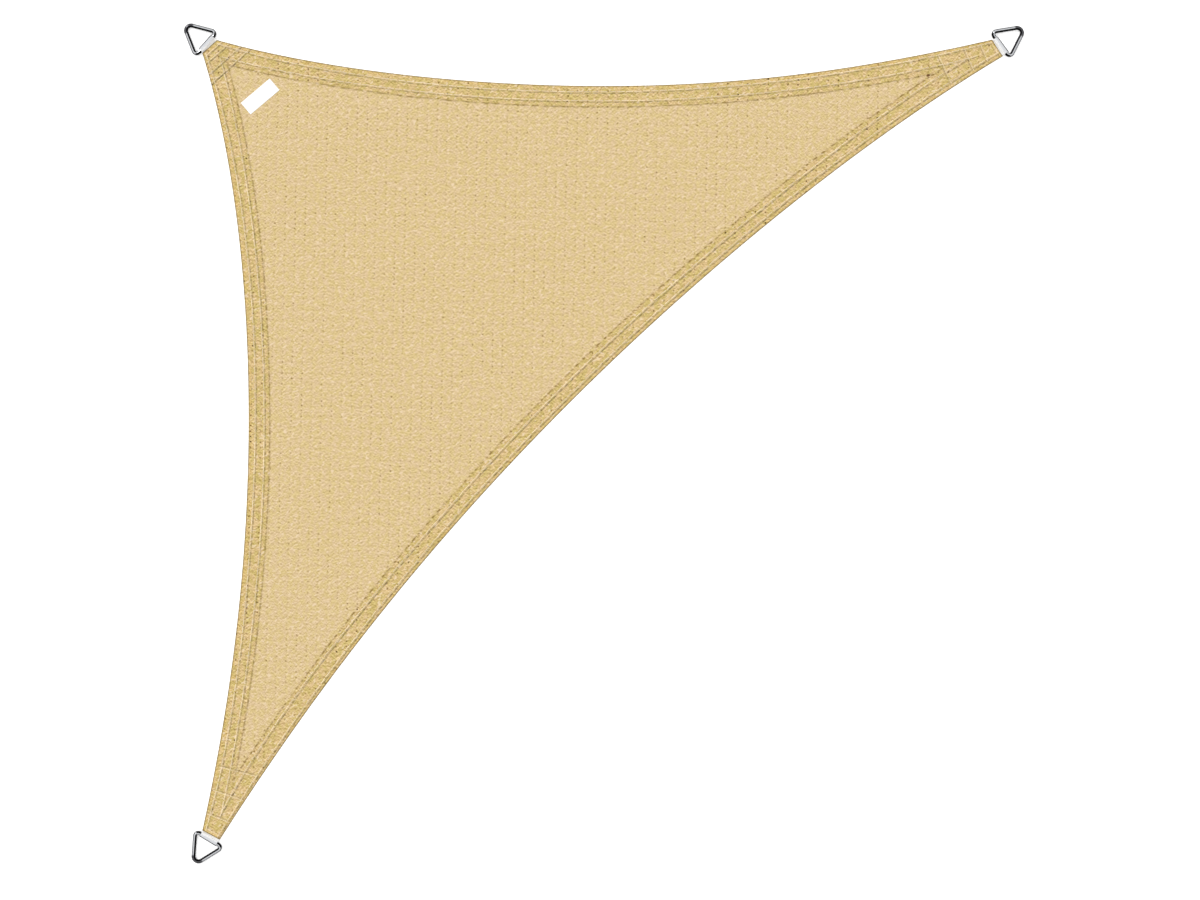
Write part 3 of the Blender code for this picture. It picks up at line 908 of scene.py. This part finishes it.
def knit_finish():
    """Knitted tape yarn: leaning strokes, small dark holes, pale flecks and soft blotches."""
    knit = Recipe("knit", 0.85)
    place = knit.place()
    across, down = knit_lattice(knit, place)
    waver = knit.math("SUBTRACT", knit.noise(place, 38.0, 2.0), 0.5)
    down = knit.math("MULTIPLY_ADD", waver, 0.45, down)
    dots = knit_dots(knit, across, down)
    hem = knit.attribute("hem")

    cells = total(knit, [knit_stroke(knit, across, down, *row) for row in KNIT_STROKES])
    patchy = knit.ramp(knit.noise(place, 45.0, 1.0), 0.35, 0.60, 0.35, 1.25)
    above = knit.node("ShaderNodeVectorMath", [place, (0.0, LIT_FROM, 0.0)]).outputs[0]
    hem_more = knit.ramp(hem, 0.0, 1.0, 1.0, 1.5)
    leaning = knit.math("SUBTRACT",
                        total(knit, [knit.strokes(place, *lean) for lean in STROKE_LEANS]),
                        total(knit, [knit.strokes(above, *lean) for lean in STROKE_LEANS]))
    shade = knit.math("MULTIPLY_ADD", cells, patchy, 1.0)
    details = knit.math("SUBTRACT", knit.math("MULTIPLY", leaning, STROKE_SHADE),
                        knit.math("MULTIPLY", dots, DOT_SHADE))
    shade = knit.math("MULTIPLY_ADD", details, hem_more, shade)

    blotch = knit.ramp(knit.strokes(place, 80.0, 0.0085, 0.0060, 1.0), 0.34, 0.66)
    tone = knit.mix(blotch, FIELD_GREEN, FIELD_WARM)
    tone = knit.mix(hem, tone, knit.mix(blotch, HEM_GREEN, HEM_WARM))
    amber = knit.ramp(knit.noise(place, 60.0, 1.0), 0.42, 0.62, 0.08, 0.62)
    golden = knit.ramp(knit.attribute("fold"), 0.0, 0.3)
    tone = knit.mix(knit.math("MULTIPLY", golden, amber), tone, HEM_GOLD)

    grey = knit.node("ShaderNodeCombineColor", [
        knit.math("POWER", shade, power) for power in SHADE_POWERS]).outputs[0]
    tone = knit.mix(1.0, tone, grey, "MULTIPLY")
    fleck = knit.ramp(knit.strokes(place, 25.0, 0.0050, 0.0030, 1.0), 0.60, 0.73)
    tone = knit.mix(knit.math("MULTIPLY", fleck, 0.85), tone, FLECK_TONE)
    uneven = knit.ramp(knit.noise(place, 70.0, 1.0), 0.38, 0.62, 0.60, 1.1)
    dotted = knit.ramp(knit.strokes(place, 0.0, 0.0085, 0.0027), 0.42, 0.56, 0.10, 1.0)
    # painted shade and shadow along the creases, the hems' inner edges and the folded edges
    for name, start, darkening, shown in (("ridge", 0.0, dotted, RIDGE_SHADOW),
                                     ("fold", 0.60, 0.95, FOLD_EDGE_SHADE),
                                     ("crease", 0.10, uneven, CREASE_SHADE)):
        near = knit.ramp(knit.attribute(name), start, 1.0, smooth=False)
        tone = knit.mix(knit.math("MULTIPLY", near, darkening), tone, shown)
    knit.colour(tone)
    knit.roughness(knit.ramp(leaning, -0.2, 0.2, 0.92, 0.76))

    relief = knit.math("SUBTRACT", knit.math("MULTIPLY", leaning, 1.2), dots)
    knit.bump(relief, 0.0006, 0.5)
    return knit.material


KNIT = knit_finish()
print("the knit has", len(KNIT.node_tree.nodes), "nodes")


# %% The sheet itself
def make_cloth():
    fields = cloth_fields(places)
    used = sorted({i for face in faces for i in face})
    top_of = {old: new for new, old in enumerate(used)}
    points = [(*places[i], fields["height"][i]) for i in used]
    polygons = [[top_of[i] for i in face] for face in faces]
    masks = {key: list(fields[key][used]) for key in ("hem", "crease", "ridge", "fold")}

    loop = boundary_loop(faces)
    under_places, under_faces = triangles([places[i] for i in loop])
    under_of = {i: len(points) + k for k, i in enumerate(loop)}
    first_under = len(points)
    points += [(*place, 0.0) for place in under_places]
    polygons += [[first_under + i for i in reversed(face)] for face in under_faces]

    cut = [cut_wall(name, loop, points, polygons, top_of, under_of) for name in CORNERS]
    for i, after in zip(loop, loop[1:] + loop[:1]):
        if not any(i in ends and after in ends for ends in cut):
            polygons.append([under_of[i], under_of[after], top_of[after], top_of[i]])
    for values in masks.values():
        values += [0.0] * (len(points) - len(values))
    cloth = piece("sail_cloth", points, polygons, KNIT, masks, sharp=60.0)
    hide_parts("sail")
    return cloth


cloth = make_cloth()

# %% [markdown]
# ## The sewing
# A stitch is a short length of thread that comes out of the cloth and goes back in. Each
# could be a curve of its own, but there are about a thousand, so one is drawn and Geometry
# Nodes put it at every place. Each is turned along its row, with a small seeded wobble, as
# a machine's stitches have.

# %% A Geometry Nodes tree that lays one stitch at every point
STITCH_PIECES = 6         # along a stitch, and round its thread
STITCH_INPUTS = {"Geometry": "Geometry", "Length": "Float", "Thickness": "Float",
                 "Rise": "Float", "Wobble": "Float", "Seed": "Int", "Finish": "Material"}


def stitch_tree():
    tree = bpy.data.node_groups.new("stitches", "GeometryNodeTree")
    for label, kind in STITCH_INPUTS.items():
        tree.interface.new_socket(label, in_out="INPUT", socket_type="NodeSocket" + kind)
    tree.interface.new_socket("Geometry", in_out="OUTPUT", socket_type="NodeSocketGeometry")

    def node(kind, values=(), **settings):
        return add_node(tree, kind, values, **settings).outputs[0]

    def times(value, factor):
        return node("ShaderNodeMath", [value, factor], operation="MULTIPLY")

    def vector(**values):
        return node("ShaderNodeCombineXYZ", values)

    given = add_node(tree, "NodeGroupInput").outputs
    path = node("GeometryNodeCurveQuadraticBezier", {
        "Resolution": STITCH_PIECES, "Start": vector(X=times(given["Length"], -0.5)),
        "Middle": vector(Z=times(given["Rise"], 2.0)),
        "End": vector(X=times(given["Length"], 0.5))})
    circle = node("GeometryNodeCurvePrimitiveCircle", {
        "Resolution": STITCH_PIECES, "Radius": times(given["Thickness"], 0.5)})
    thread = node("GeometryNodeCurveToMesh", {
        "Curve": path, "Profile Curve": circle, "Fill Caps": True})
    thread = node("GeometryNodeSetShadeSmooth", {"Geometry": thread})

    way = node("GeometryNodeInputNamedAttribute", {"Name": "along"}, data_type="FLOAT_VECTOR")
    more, less = given["Wobble"], times(given["Wobble"], -1.0)
    chance = node("FunctionNodeRandomValue", {
        "Min": vector(X=less, Y=less), "Max": vector(X=more, Y=more),
        "Seed": given["Seed"]}, data_type="FLOAT_VECTOR")
    turned = node("ShaderNodeVectorMath", [way, chance], operation="ADD")
    aim = node("FunctionNodeAlignRotationToVector", {"Vector": turned},
               axis="X", pivot_axis="Z")
    laid = node("GeometryNodeInstanceOnPoints", {
        "Points": given["Geometry"], "Instance": thread, "Rotation": aim})
    real = node("GeometryNodeRealizeInstances", {"Geometry": laid})
    done = node("GeometryNodeSetMaterial", {"Geometry": real, "Material": given["Finish"]})
    add_node(tree, "NodeGroupOutput", [done])
    return tree


STITCHES = stitch_tree()
print("the tree has", len(STITCHES.nodes), "nodes")

# %% Sewing: one piece out of all the stitches of a kind
def sew(name, spots, length, thickness, rise, finish, seed, wobble=0.06):
    """One piece of all the stitches at the spots, each a place and a direction."""
    mesh = bpy.data.meshes.new(name + "_spots")
    mesh.from_pydata([tuple(place) for place, _ in spots], [], [])
    way = mesh.attributes.new("along", "FLOAT_VECTOR", "POINT")
    way.data.foreach_set("vector", [c for _, along in spots for c in (*along, 0.0)])
    holder = add_object(name + "_spots", mesh)
    modifier = holder.modifiers.new("stitches", "NODES")
    modifier.node_group = STITCHES
    values = {"Length": length, "Thickness": thickness, "Rise": rise, "Wobble": wobble,
              "Seed": seed, "Finish": finish}
    for socket in STITCHES.interface.items_tree:
        if socket.in_out == "INPUT" and socket.name in values:
            modifier[socket.identifier] = values[socket.name]
    ready = holder.evaluated_get(bpy.context.evaluated_depsgraph_get())
    sewn_mesh = bpy.data.meshes.new_from_object(ready)
    sewn = add_object(name, sewn_mesh)
    sewn_mesh.name = name
    bpy.data.objects.remove(holder)
    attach(sewn, "root")
    return sewn


print("a stitch takes", ", ".join(STITCH_INPUTS))

# %% [markdown]
# ## The thread's finish
# Real thread is two or three plies twisted together, and the sun fades it in patches. The
# plies could be modelled, but from this far only their fine light and dark shows, so a fine
# noise in the colour and the bump is enough, and a coarse one for the fading.

# %% The thread's finish
def thread_finish(name, tone, deep):
    thread = Recipe(name, 0.7)
    place = thread.place()
    twist = thread.noise(place, 900.0, 2.0)
    faded = thread.ramp(thread.noise(place, 14.0, 1.0), 0.36, 0.64)
    twisted = thread.ramp(twist, 0.3, 0.7, 0.92, 1.06)
    thread.colour(thread.mix(1.0, thread.mix(faded, deep, tone), twisted, "MULTIPLY"))
    thread.roughness(thread.ramp(twist, 0.3, 0.7, 0.55, 0.8))
    thread.bump(twist, 0.0003, 0.6)
    return thread.material


SAIL_THREAD = thread_finish("sail_thread", linear(239, 220, 186), linear(214, 196, 163))
print("two tones of one thread are ready")


# %% Places for stitches along a line
def stitches_along(line, pitch, aside):
    """The places and directions of stitches on a line, moved to one side of it."""
    spots = []
    length = line_length(line)
    count = round(length / pitch)
    walked = 0.0
    wanted = [(k + 0.5) * length / count for k in range(count)]
    for start, end in zip(line[:-1], line[1:]):
        step = (end - start).length
        way = (end - start).normalized()
        while wanted and wanted[0] <= walked + step:
            place = start + way * (wanted.pop(0) - walked)
            spots.append((place + left_of(way) * aside, way))
        walked += step
    return spots


def keep_inside(spots, loop, margin):
    """The spots whose two ends are still on the cloth."""
    ends = [place + way * side * margin for place, way in spots for side in (-1, 1)]
    kept = inside(np.array([tuple(p) for p in ends]), loop).reshape(-1, 2).all(axis=1)
    return [spot for spot, good in zip(spots, kept) if good]


def on_cloth(spots, sink):
    """The spots at the cloth's own height, sunk in a little."""
    places = np.array([tuple(place) for place, _ in spots])
    return [((*place, height - sink), way)
            for (place, way), height in zip(spots, cloth_fields(places)["height"])]


def spot_insets(spots):
    """How far in the spots lie from each edge."""
    places = np.array([tuple(place) for place, _ in spots])
    return places, {key: inset for key, (inset, _) in edge_insets(places).items()}


edge_loop = outline(0.01)
print("a metre takes", len(stitches_along([Vector((0, 0)), Vector((1, 0))], STITCH, 0)), "stitches")

# %% The rows of the hems
THREAD = 0.0020
THREAD_SUNK = 0.25 * THREAD
HEM_STITCH = 0.0172
HEM_RISE = 0.0006
HEM_MARGIN = 0.008        # a stitch's ends this far from its middle must be on the cloth

hem_spots = []
for name, rank, line in hem_rows():
    spots = stitches_along(line, STITCH, EDGES[name]["thread"])
    shown = shown_rows(*spot_insets(spots), name, rank)
    hem_spots += [spot for spot, good in zip(spots, shown) if good]
hem_spots = keep_inside(hem_spots, edge_loop, HEM_MARGIN)
hem_stitches = sew("hem_stitches", on_cloth(hem_spots, THREAD_SUNK), HEM_STITCH, THREAD,
                   HEM_RISE, SAIL_THREAD, seed=11)
print(len(hem_spots), "hem stitches,", triangle_count(hem_stitches), "triangles")

# %% The rows across the corners
CROSS_THREAD = 0.8 * THREAD
CROSS_SUNK = 0.3 * THREAD
CROSS_LENGTH = 0.0080
CROSS_RISE = 0.0005
CROSS_ASIDE = 0.0036      # the thread lies beside its crease, towards the ring
CROSS_MARGIN = 0.004
CROSS_STOPS = 20

cross_spots = []
for corner, (start, end), trim, _ in cross_rows():
    to_ring = math.copysign(CROSS_ASIDE, left_of(end - start).dot(heading(corner["faces"])))
    stops = [start.lerp(end, i / CROSS_STOPS) for i in range(CROSS_STOPS + 1)]
    spots = stitches_along(stops, CROSS_STITCH, to_ring)
    nearest = np.minimum.reduce(list(spot_insets(spots)[1].values()))
    cross_spots += [spot for spot, inset in zip(spots, nearest) if inset > trim]
cross_spots = keep_inside(cross_spots, edge_loop, CROSS_MARGIN)
cross_stitches = sew("cross_stitches", on_cloth(cross_spots, CROSS_SUNK), CROSS_LENGTH,
                     CROSS_THREAD, CROSS_RISE, SAIL_THREAD, seed=12, wobble=0.03)
print(len(cross_spots), "across the corners,", triangle_count(cross_stitches), "triangles")

# %% [markdown]
# ## The dark tack
# Three short stitches of brown thread close the place where two hems meet, by the top
# right corner. They are laid by the same tree as the other stitches.

# %% The tack by the top right corner
TACK_AT = Vector((0.7716, 0.8761))
TACK_LEAN = 12.0
TACK_LENGTH = 0.0075
TACK_STEP = 0.0017
TACK_THREAD = thread_finish("tack_thread", linear(136, 96, 46), linear(106, 72, 32))

tack_way = heading(TACK_LEAN)
tack_spots = [(TACK_AT + left_of(tack_way) * TACK_STEP * i, tack_way) for i in (-1, 0, 1)]
tack = sew("tack", on_cloth(tack_spots, THREAD_SUNK), TACK_LENGTH, THREAD, HEM_RISE,
           TACK_THREAD, seed=14)
print(len(tack_spots), "stitches in the tack")

# %% [markdown]
# ## The webbing loops
# Each loop is a length of white webbing, folded round the ring's bar. Its path is seen from
# the side: in the slot, out, round the bar and back. The band is thin, ribbed lengthwise,
# and its two edges are rounded where the weave turns back. A flat strip could be bent along
# a curve, but the bar lies askew and the band is to follow it, so it is lofted instead: one
# outline for each line across its width, each with its own length of path.

# %% The path round the bar
ROD_RADIUS = 0.0048
HALF_SIDE = math.pi / 12  # half the angle of a side of the solid rod, which has twelve
ROD_VERTEX = ROD_RADIUS / math.cos(HALF_SIDE)
STRAP_BEND = ROD_VERTEX + 1.4 * GAP + STRAP_THICK / 2
STRAP_MOUTH = 3 * GAP
BAR_Z = STRAP_BEND + STRAP_THICK / 2
BAR_OUT = 0.0096
LOWER_END = SLOT_LOW + GAP + STRAP_THICK / 2
UPPER_END = CORNER_THICK - LOWER_END


def tangent_angle(point, centre, radius, side):
    """Where a straight line from a point touches a circle, as an angle round it."""
    away = point - centre
    return math.atan2(away.y, away.x) % (2 * math.pi) + side * math.acos(radius / away.length)


def strap_path(bar_out, bends=26, straights=5):
    """The strap's centre line seen from its side: in, round the bar and back."""
    centre = Vector((bar_out, BAR_Z))
    lower = Vector((STRAP_MOUTH, LOWER_END))
    upper = Vector((STRAP_MOUTH, UPPER_END))
    first = tangent_angle(lower, centre, STRAP_BEND, 1)
    last = tangent_angle(upper, centre, STRAP_BEND, -1) + 2 * math.pi
    arc = [first + (last - first) * i / bends for i in range(bends + 1)]
    bend = [centre + STRAP_BEND * Vector((math.cos(a), math.sin(a))) for a in arc]
    out = [lower.lerp(bend[0], i / straights) for i in range(straights)]
    home = [bend[-1].lerp(upper, i / straights) for i in range(1, straights + 1)]
    ends = Vector((-STRAP_TUCK, LOWER_END)), Vector((-STRAP_TUCK, UPPER_END))
    return [ends[0], *out, *bend, *home, ends[1]]


def band_section(path, thickness):
    """A band's outline: its centre line moved out on one side and back on the other."""
    sides = [], []
    for i, point in enumerate(path):
        before = (point - path[i - 1]).normalized() if i > 0 else None
        after = (path[i + 1] - point).normalized() if i + 1 < len(path) else None
        way = ((before or after) + (after or before)).normalized()
        reach = thickness / 2 / way.dot(after or before)
        sides[0].append(point + left_of(way) * reach)
        sides[1].append(point - left_of(way) * reach)
    return sides[0] + sides[1][::-1]


print(f"{line_length(strap_path(BAR_OUT)) * 1000:.0f} mm of webbing in a loop")

# %% [markdown]
# ## The webbing's finish
# Webbing is woven: ribs run along it and fine threads, the picks, go across. Ribs could be a
# bump too, but their shading from above is clearest as a real form, so they are in the mesh, and
# the picks are a wave in the colour and the bump. The band notes how far out and how far
# along each point is: the bend over the bar is greyer than the rest in the picture, painted
# shade, and its far side, under the rod's eye, is a nearly black painted shadow.

# %% The webbing's finish
PICK = 0.0016


def webbing_finish():
    """White polyester webbing: ribs along it and fine picks across."""
    webbing = Recipe("webbing", 0.8)
    place = webbing.place()
    rib = webbing.attribute("rib")
    fine = webbing.noise(place, 700.0, 2.0)
    picks = webbing.math("COSINE", webbing.math(
        "MULTIPLY", webbing.attribute("pick"), 2 * math.pi / PICK))
    weave = webbing.math("MULTIPLY", picks, webbing.math("ADD", rib, 0.4))
    shade = webbing.math("MULTIPLY_ADD", weave, 0.25, webbing.math("MULTIPLY", fine, 0.5))
    light = webbing.ramp(shade, 0.0, 0.7)
    bent = webbing.mix(light, linear(192, 194, 198), linear(207, 207, 208))
    unshaded_white = webbing.mix(light, linear(244, 245, 246), linear(253, 253, 253))
    out = webbing.attribute("out")
    # painted shade on the bend over the bar, and a near-black painted shadow on its far side
    tone = webbing.mix(webbing.ramp(out, 0.15, 0.60), unshaded_white, bent)
    webbing.colour(webbing.mix(webbing.ramp(out, 0.80, 0.87), tone, linear(34, 34, 36)))
    webbing.roughness(webbing.ramp(fine, 0.3, 0.7, 0.7, 0.9))
    webbing.bump(webbing.math("ADD", shade, rib), 0.0003, 0.6)
    return webbing.material


WEBBING = webbing_finish()
print("the webbing has", len(WEBBING.node_tree.nodes), "nodes")

# %% The band, lofted across its width
RIB = 0.00362
RIB_HEIGHT = 0.00010
BAND_EDGE = 0.0009        # the radius of the round at each side
BAND_LINES = 49
BAND_THINNEST = 0.06      # the square of the share of its thickness that a side keeps
EDGE_TURNS = (30.0, 60.0, 90.0)


def caps(count, rows):
    """The two end faces of a band, as a strip of quads each."""
    first = [[i, i + 1, count - 2 - i, count - 1 - i] for i in range(count // 2 - 1)]
    base = (rows - 1) * count
    return first + [[base + i for i in quad] for quad in first]


def make_webbing(name):
    """A ribbed band, lofted across its width, slanted as the bar is."""
    corner = CORNERS[name]
    slant = math.tan(math.radians(corner["points"] - corner["faces"]))
    turn = heading(corner["faces"])
    middle = Vector(corner["at"])
    half = STRAP_WIDTH / 2
    inner = np.linspace(-half + BAND_EDGE, half - BAND_EDGE, BAND_LINES)
    rounds = half - BAND_EDGE + BAND_EDGE * np.sin(np.radians(EDGE_TURNS))
    widths = [*(-rounds[::-1]), *inner, *rounds]
    points, ribs, picks, outs = [], [], [], []
    for across in widths:
        edge = max(0.0, abs(across) - half + BAND_EDGE) / BAND_EDGE
        rib = math.cos(2 * math.pi * across / RIB) if edge == 0.0 else -1.0
        thick = (STRAP_THICK - 2 * RIB_HEIGHT) * math.sqrt(max(BAND_THINNEST, 1 - edge ** 2))
        thick += RIB_HEIGHT * (1 + rib)
        section = band_section(strap_path(BAR_OUT - across * slant), thick)
        walked = 0.0
        for i, p in enumerate(section):
            walked += (p - section[i - 1]).length if i else 0.0
            flat = middle + turn * p.x + left_of(turn) * across
            points.append((*flat, p.y))
            ribs.append((1 + rib) / 2)
            picks.append(walked)
            outs.append(p.x / max(q.x for q in section))
    count = len(points) // len(widths)
    polygons = quads(len(widths), count) + caps(count, len(widths))
    band = piece("webbing_" + name, points, polygons, WEBBING,
                 dict(rib=ribs, pick=picks, out=outs), sharp=50.0)
    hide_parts("loop_" + name)
    return band


bands = [make_webbing(name) for name in CORNERS]
print("webbing:", triangle_count(bands[0]), "triangles a loop")

# %% [markdown]
# ## The rings
# A ring is a steel rod bent to a triangle, welded shut and polished. A curve with a bevel
# would do it too. Here a circle of points is swept along the bent line, because each point
# can then note which side of the rod it is on, for the finish to read.

# %% The bent rod
RING_BASE = 0.0765
RING_HEIGHT = 0.0754
APEX_BEND = 0.012
BASE_BEND = 0.0078
ROD_SIDES = 36


def bent_loop(corners, straight=8):
    """A closed line round to the left through corners of (place, bend radius, pieces)."""
    arcs = []
    for i, (place, radius, pieces) in enumerate(corners):
        came = (place - corners[i - 1][0]).normalized()
        goes = (corners[(i + 1) % len(corners)][0] - place).normalized()
        turn = math.acos(came.dot(goes))
        centre = place - came * radius * math.tan(turn / 2) + left_of(came) * radius
        arriving = math.degrees(math.atan2(came.y, came.x))
        ways = [heading(arriving + math.degrees(turn) * step / pieces)
                for step in range(pieces + 1)]
        arcs.append([(centre - left_of(way) * radius, way) for way in ways])
    line = []
    for arc, after in zip(arcs, arcs[1:] + arcs[:1]):
        (start, way), (end, _) = arc[-1], after[0]
        line += arc + [(start.lerp(end, k / straight), way) for k in range(1, straight)]
    return line


RING_LINE = bent_loop([(Vector((RING_HEIGHT, 0.0)), APEX_BEND, 24),
                       (Vector((0.0, RING_BASE / 2)), BASE_BEND, 20),
                       (Vector((0.0, -RING_BASE / 2)), BASE_BEND, 20)])
print(len(RING_LINE), "points along the bent line")

# %% [markdown]
# ## The steel's finish
# Polished steel has no colour of its own and shows its surroundings. Here those are a plain
# sky, so the dark things that a real ring mirrors are put in its colour: by the side of the
# rod, which each point of the mesh notes, and by how near it is to a bend or to the bar.

# %% The steel's finish
def steel_finish():
    """Polished steel: fine marks from the wheel, and painted dark reflections."""
    steel = Recipe("steel", 0.16, metallic=1.0)
    place = steel.place()
    marks = steel.noise(place, 350.0, 3.0)
    side = steel.attribute("side")
    end = steel.attribute("end")
    tone = steel.mix(marks, linear(164, 166, 169), linear(194, 195, 198))
    # painted reflection: the rod is darker round the bend at the apex
    bend = steel.ramp(steel.attribute("bend"), 0.1, 0.9)
    tone = steel.mix(bend, tone, linear(78, 78, 81))
    # painted reflections: a dark line at the rod's outer edge, and a dark band on its inner side
    # that moves to the outer side near the bar
    rim = steel.ramp(side, -0.90, -0.58, 1.0, 0.0)
    tone = steel.mix(rim, tone, linear(26, 26, 28))
    inner = steel.math("MULTIPLY", steel.ramp(side, -0.06, 0.24),
                       steel.ramp(end, 0.3, 0.7, 1.0, 0.0))
    outer = steel.math("MULTIPLY", steel.ramp(side, -0.22, 0.12, 1.0, 0.0),
                       steel.ramp(end, 0.3, 0.7))
    dark = steel.math("MAXIMUM", inner, outer)
    steel.colour(steel.mix(dark, tone, linear(12, 12, 14)))
    steel.roughness(steel.ramp(marks, 0.3, 0.7, 0.14, 0.26))
    steel.bump(marks, 0.0001, 0.3)
    return steel.material


STEEL = steel_finish()
print("the steel has", len(STEEL.node_tree.nodes), "nodes")

# %% The rods, each leaned and turned as its ring lies
ROD_SWELL = 1.01          # the round rod lies between the flats and corners of the solid's
BEND_FROM = 2.2 * APEX_BEND
BEND_FADE = 0.006


def share(value):
    return max(0.0, min(1.0, value))


def make_rod(name):
    corner = CORNERS[name]
    half_angle = math.atan2(RING_BASE / 2, RING_HEIGHT)
    reach = RING_HEIGHT - APEX_BEND * (1 / math.sin(half_angle) - 1)
    lean = math.asin((BAR_Z - ROD_RADIUS) / (reach + ROD_RADIUS * math.tan(HALF_SIDE)))
    bar = (Vector(corner["at"]) + heading(corner["faces"]) * BAR_OUT
           + left_of(heading(corner["points"])) * corner["slid"])
    turn = Euler((0.0, lean, math.radians(corner["points"]))).to_matrix().to_4x4()
    place = Matrix.Translation((*bar, BAR_Z)) @ turn
    radius = ROD_RADIUS * ROD_SWELL
    points, sides, bends, ends = [], [], [], []
    for spot, way in RING_LINE:
        bend = share((spot.x - RING_HEIGHT + BEND_FROM) / BEND_FADE)
        end = share(1.0 - spot.x / BASE_BEND)
        for k in range(ROD_SIDES):
            angle = 2 * math.pi * k / ROD_SIDES
            flat = spot + left_of(way) * radius * math.cos(angle)
            points.append(place @ Vector((*flat, radius * math.sin(angle))))
            sides.append(math.cos(angle))
            bends.append(bend)
            ends.append(end)
    polygons = quads(len(RING_LINE), ROD_SIDES, close_rows=True)
    rod = piece("rod_" + name, points, polygons, STEEL,
                dict(side=sides, bend=bends, end=ends), sharp=80.0)
    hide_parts("ring_" + name)
    return rod


rods = [make_rod(name) for name in CORNERS]
print("rods:", triangle_count(rods[0]), "triangles a ring")

# %% [markdown]
# ## The label
# A blank woven label lies near the top left corner. It is a thin plate with eased edges,
# sewn down along its border in its own white thread. The seam presses the plate down, and
# that could be a bump, but a grid of small squares shows it at the plate's rim as well. The
# weave is too fine to model and is a product of two waves in the colour.

# %% The label's finish
WARP = 0.0016
WEFT = 0.0012


def label_finish():
    """Smooth white ribbon: a weave so fine that it only dulls the light."""
    label = Recipe("label", 0.6)
    place = label.place()
    parts = label.node("ShaderNodeSeparateXYZ", [label.turned(place, -LABEL_TURN)])
    warp = label.math("SINE", label.math("MULTIPLY", parts.outputs["X"], 2 * math.pi / WARP))
    weft = label.math("SINE", label.math("MULTIPLY", parts.outputs["Y"], 2 * math.pi / WEFT))
    weave = label.math("MULTIPLY", warp, weft)
    fine = label.noise(place, 500.0, 2.0)
    shade = label.math("MULTIPLY_ADD", weave, 0.3, fine)
    label.colour(label.mix(label.ramp(shade, 0.2, 0.8), linear(236, 236, 236),
                           linear(244, 244, 244)))
    label.roughness(label.ramp(fine, 0.3, 0.7, 0.5, 0.7))
    label.bump(shade, 0.0002, 0.4)
    return label.material


LABEL = label_finish()
print("the label has", len(LABEL.node_tree.nodes), "nodes")

# %% The label's plate
LABEL_THICK = 0.0009
LABEL_EASE = 0.0003
LABEL_BORDER = 0.0026     # from the label's edge to its seam
PRESS = 0.00018           # the seam pulls the label down by this much
PRESS_REACH = 0.0012
LABEL_SQUARES = (45, 18)


def label_place(along, across, height):
    way = heading(LABEL_TURN)
    flat = Vector(LABEL_AT) + way * along + left_of(way) * across
    return (*flat, CLOTH + GAP + height)


def make_label():
    """A plate of small squares, pressed down a little along its border."""
    xs, ys = [[size / 2 * (2 * i / count - 1) for i in range(count + 1)]
              for size, count in zip((LABEL_LENGTH, LABEL_WIDTH), LABEL_SQUARES)]
    points = []
    for y in ys:
        for x in xs:
            edge = min(LABEL_LENGTH / 2 - abs(x), LABEL_WIDTH / 2 - abs(y))
            press = PRESS * math.exp(-((edge - LABEL_BORDER) / PRESS_REACH) ** 2)
            top = LABEL_THICK - press - (LABEL_EASE if edge < 1e-6 else 0.0)
            points.append(label_place(x, y, top))
    polygons = quads(len(ys), len(xs), close=False)
    loop = boundary_loop(polygons)
    base = len(points)
    points += [(*points[i][:2], CLOTH + GAP) for i in loop]
    polygons += [[loop[k], base + k, base + after, loop[after]]
                 for k, after in ring_edges(len(loop))]
    polygons.append([base + k for k in range(len(loop))])
    label = piece("label_plate", points, polygons, LABEL, sharp=50.0)
    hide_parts("label")
    return label


label = make_label()
print("the label's plate:", triangle_count(label), "triangles")

# %% The label's seam
LABEL_THREAD = thread_finish("label_thread", linear(244, 244, 243), linear(228, 228, 227))
LABEL_PITCH = 0.0036
LABEL_SEAM_THREAD = 0.0007
LABEL_STITCH = 0.0029
LABEL_SUNK = 0.0003
LABEL_RISE = 0.0002

inset_x, inset_y = LABEL_LENGTH / 2 - LABEL_BORDER, LABEL_WIDTH / 2 - LABEL_BORDER
seam = [Vector(label_place(x, y, 0.0)[:2]) for x, y in (
    (-inset_x, -inset_y), (inset_x, -inset_y), (inset_x, inset_y), (-inset_x, inset_y))]
label_spots = []
for start, end in zip(seam, seam[1:] + seam[:1]):
    label_spots += stitches_along([start, end], LABEL_PITCH, 0.0)
label_top = CLOTH + GAP + LABEL_THICK - LABEL_SUNK
label_stitches = sew("label_stitches", [((*p, label_top), way) for p, way in label_spots],
                     LABEL_STITCH, LABEL_SEAM_THREAD, LABEL_RISE, LABEL_THREAD,
                     seed=13, wobble=0.03)
print(len(label_spots), "stitches round the label")
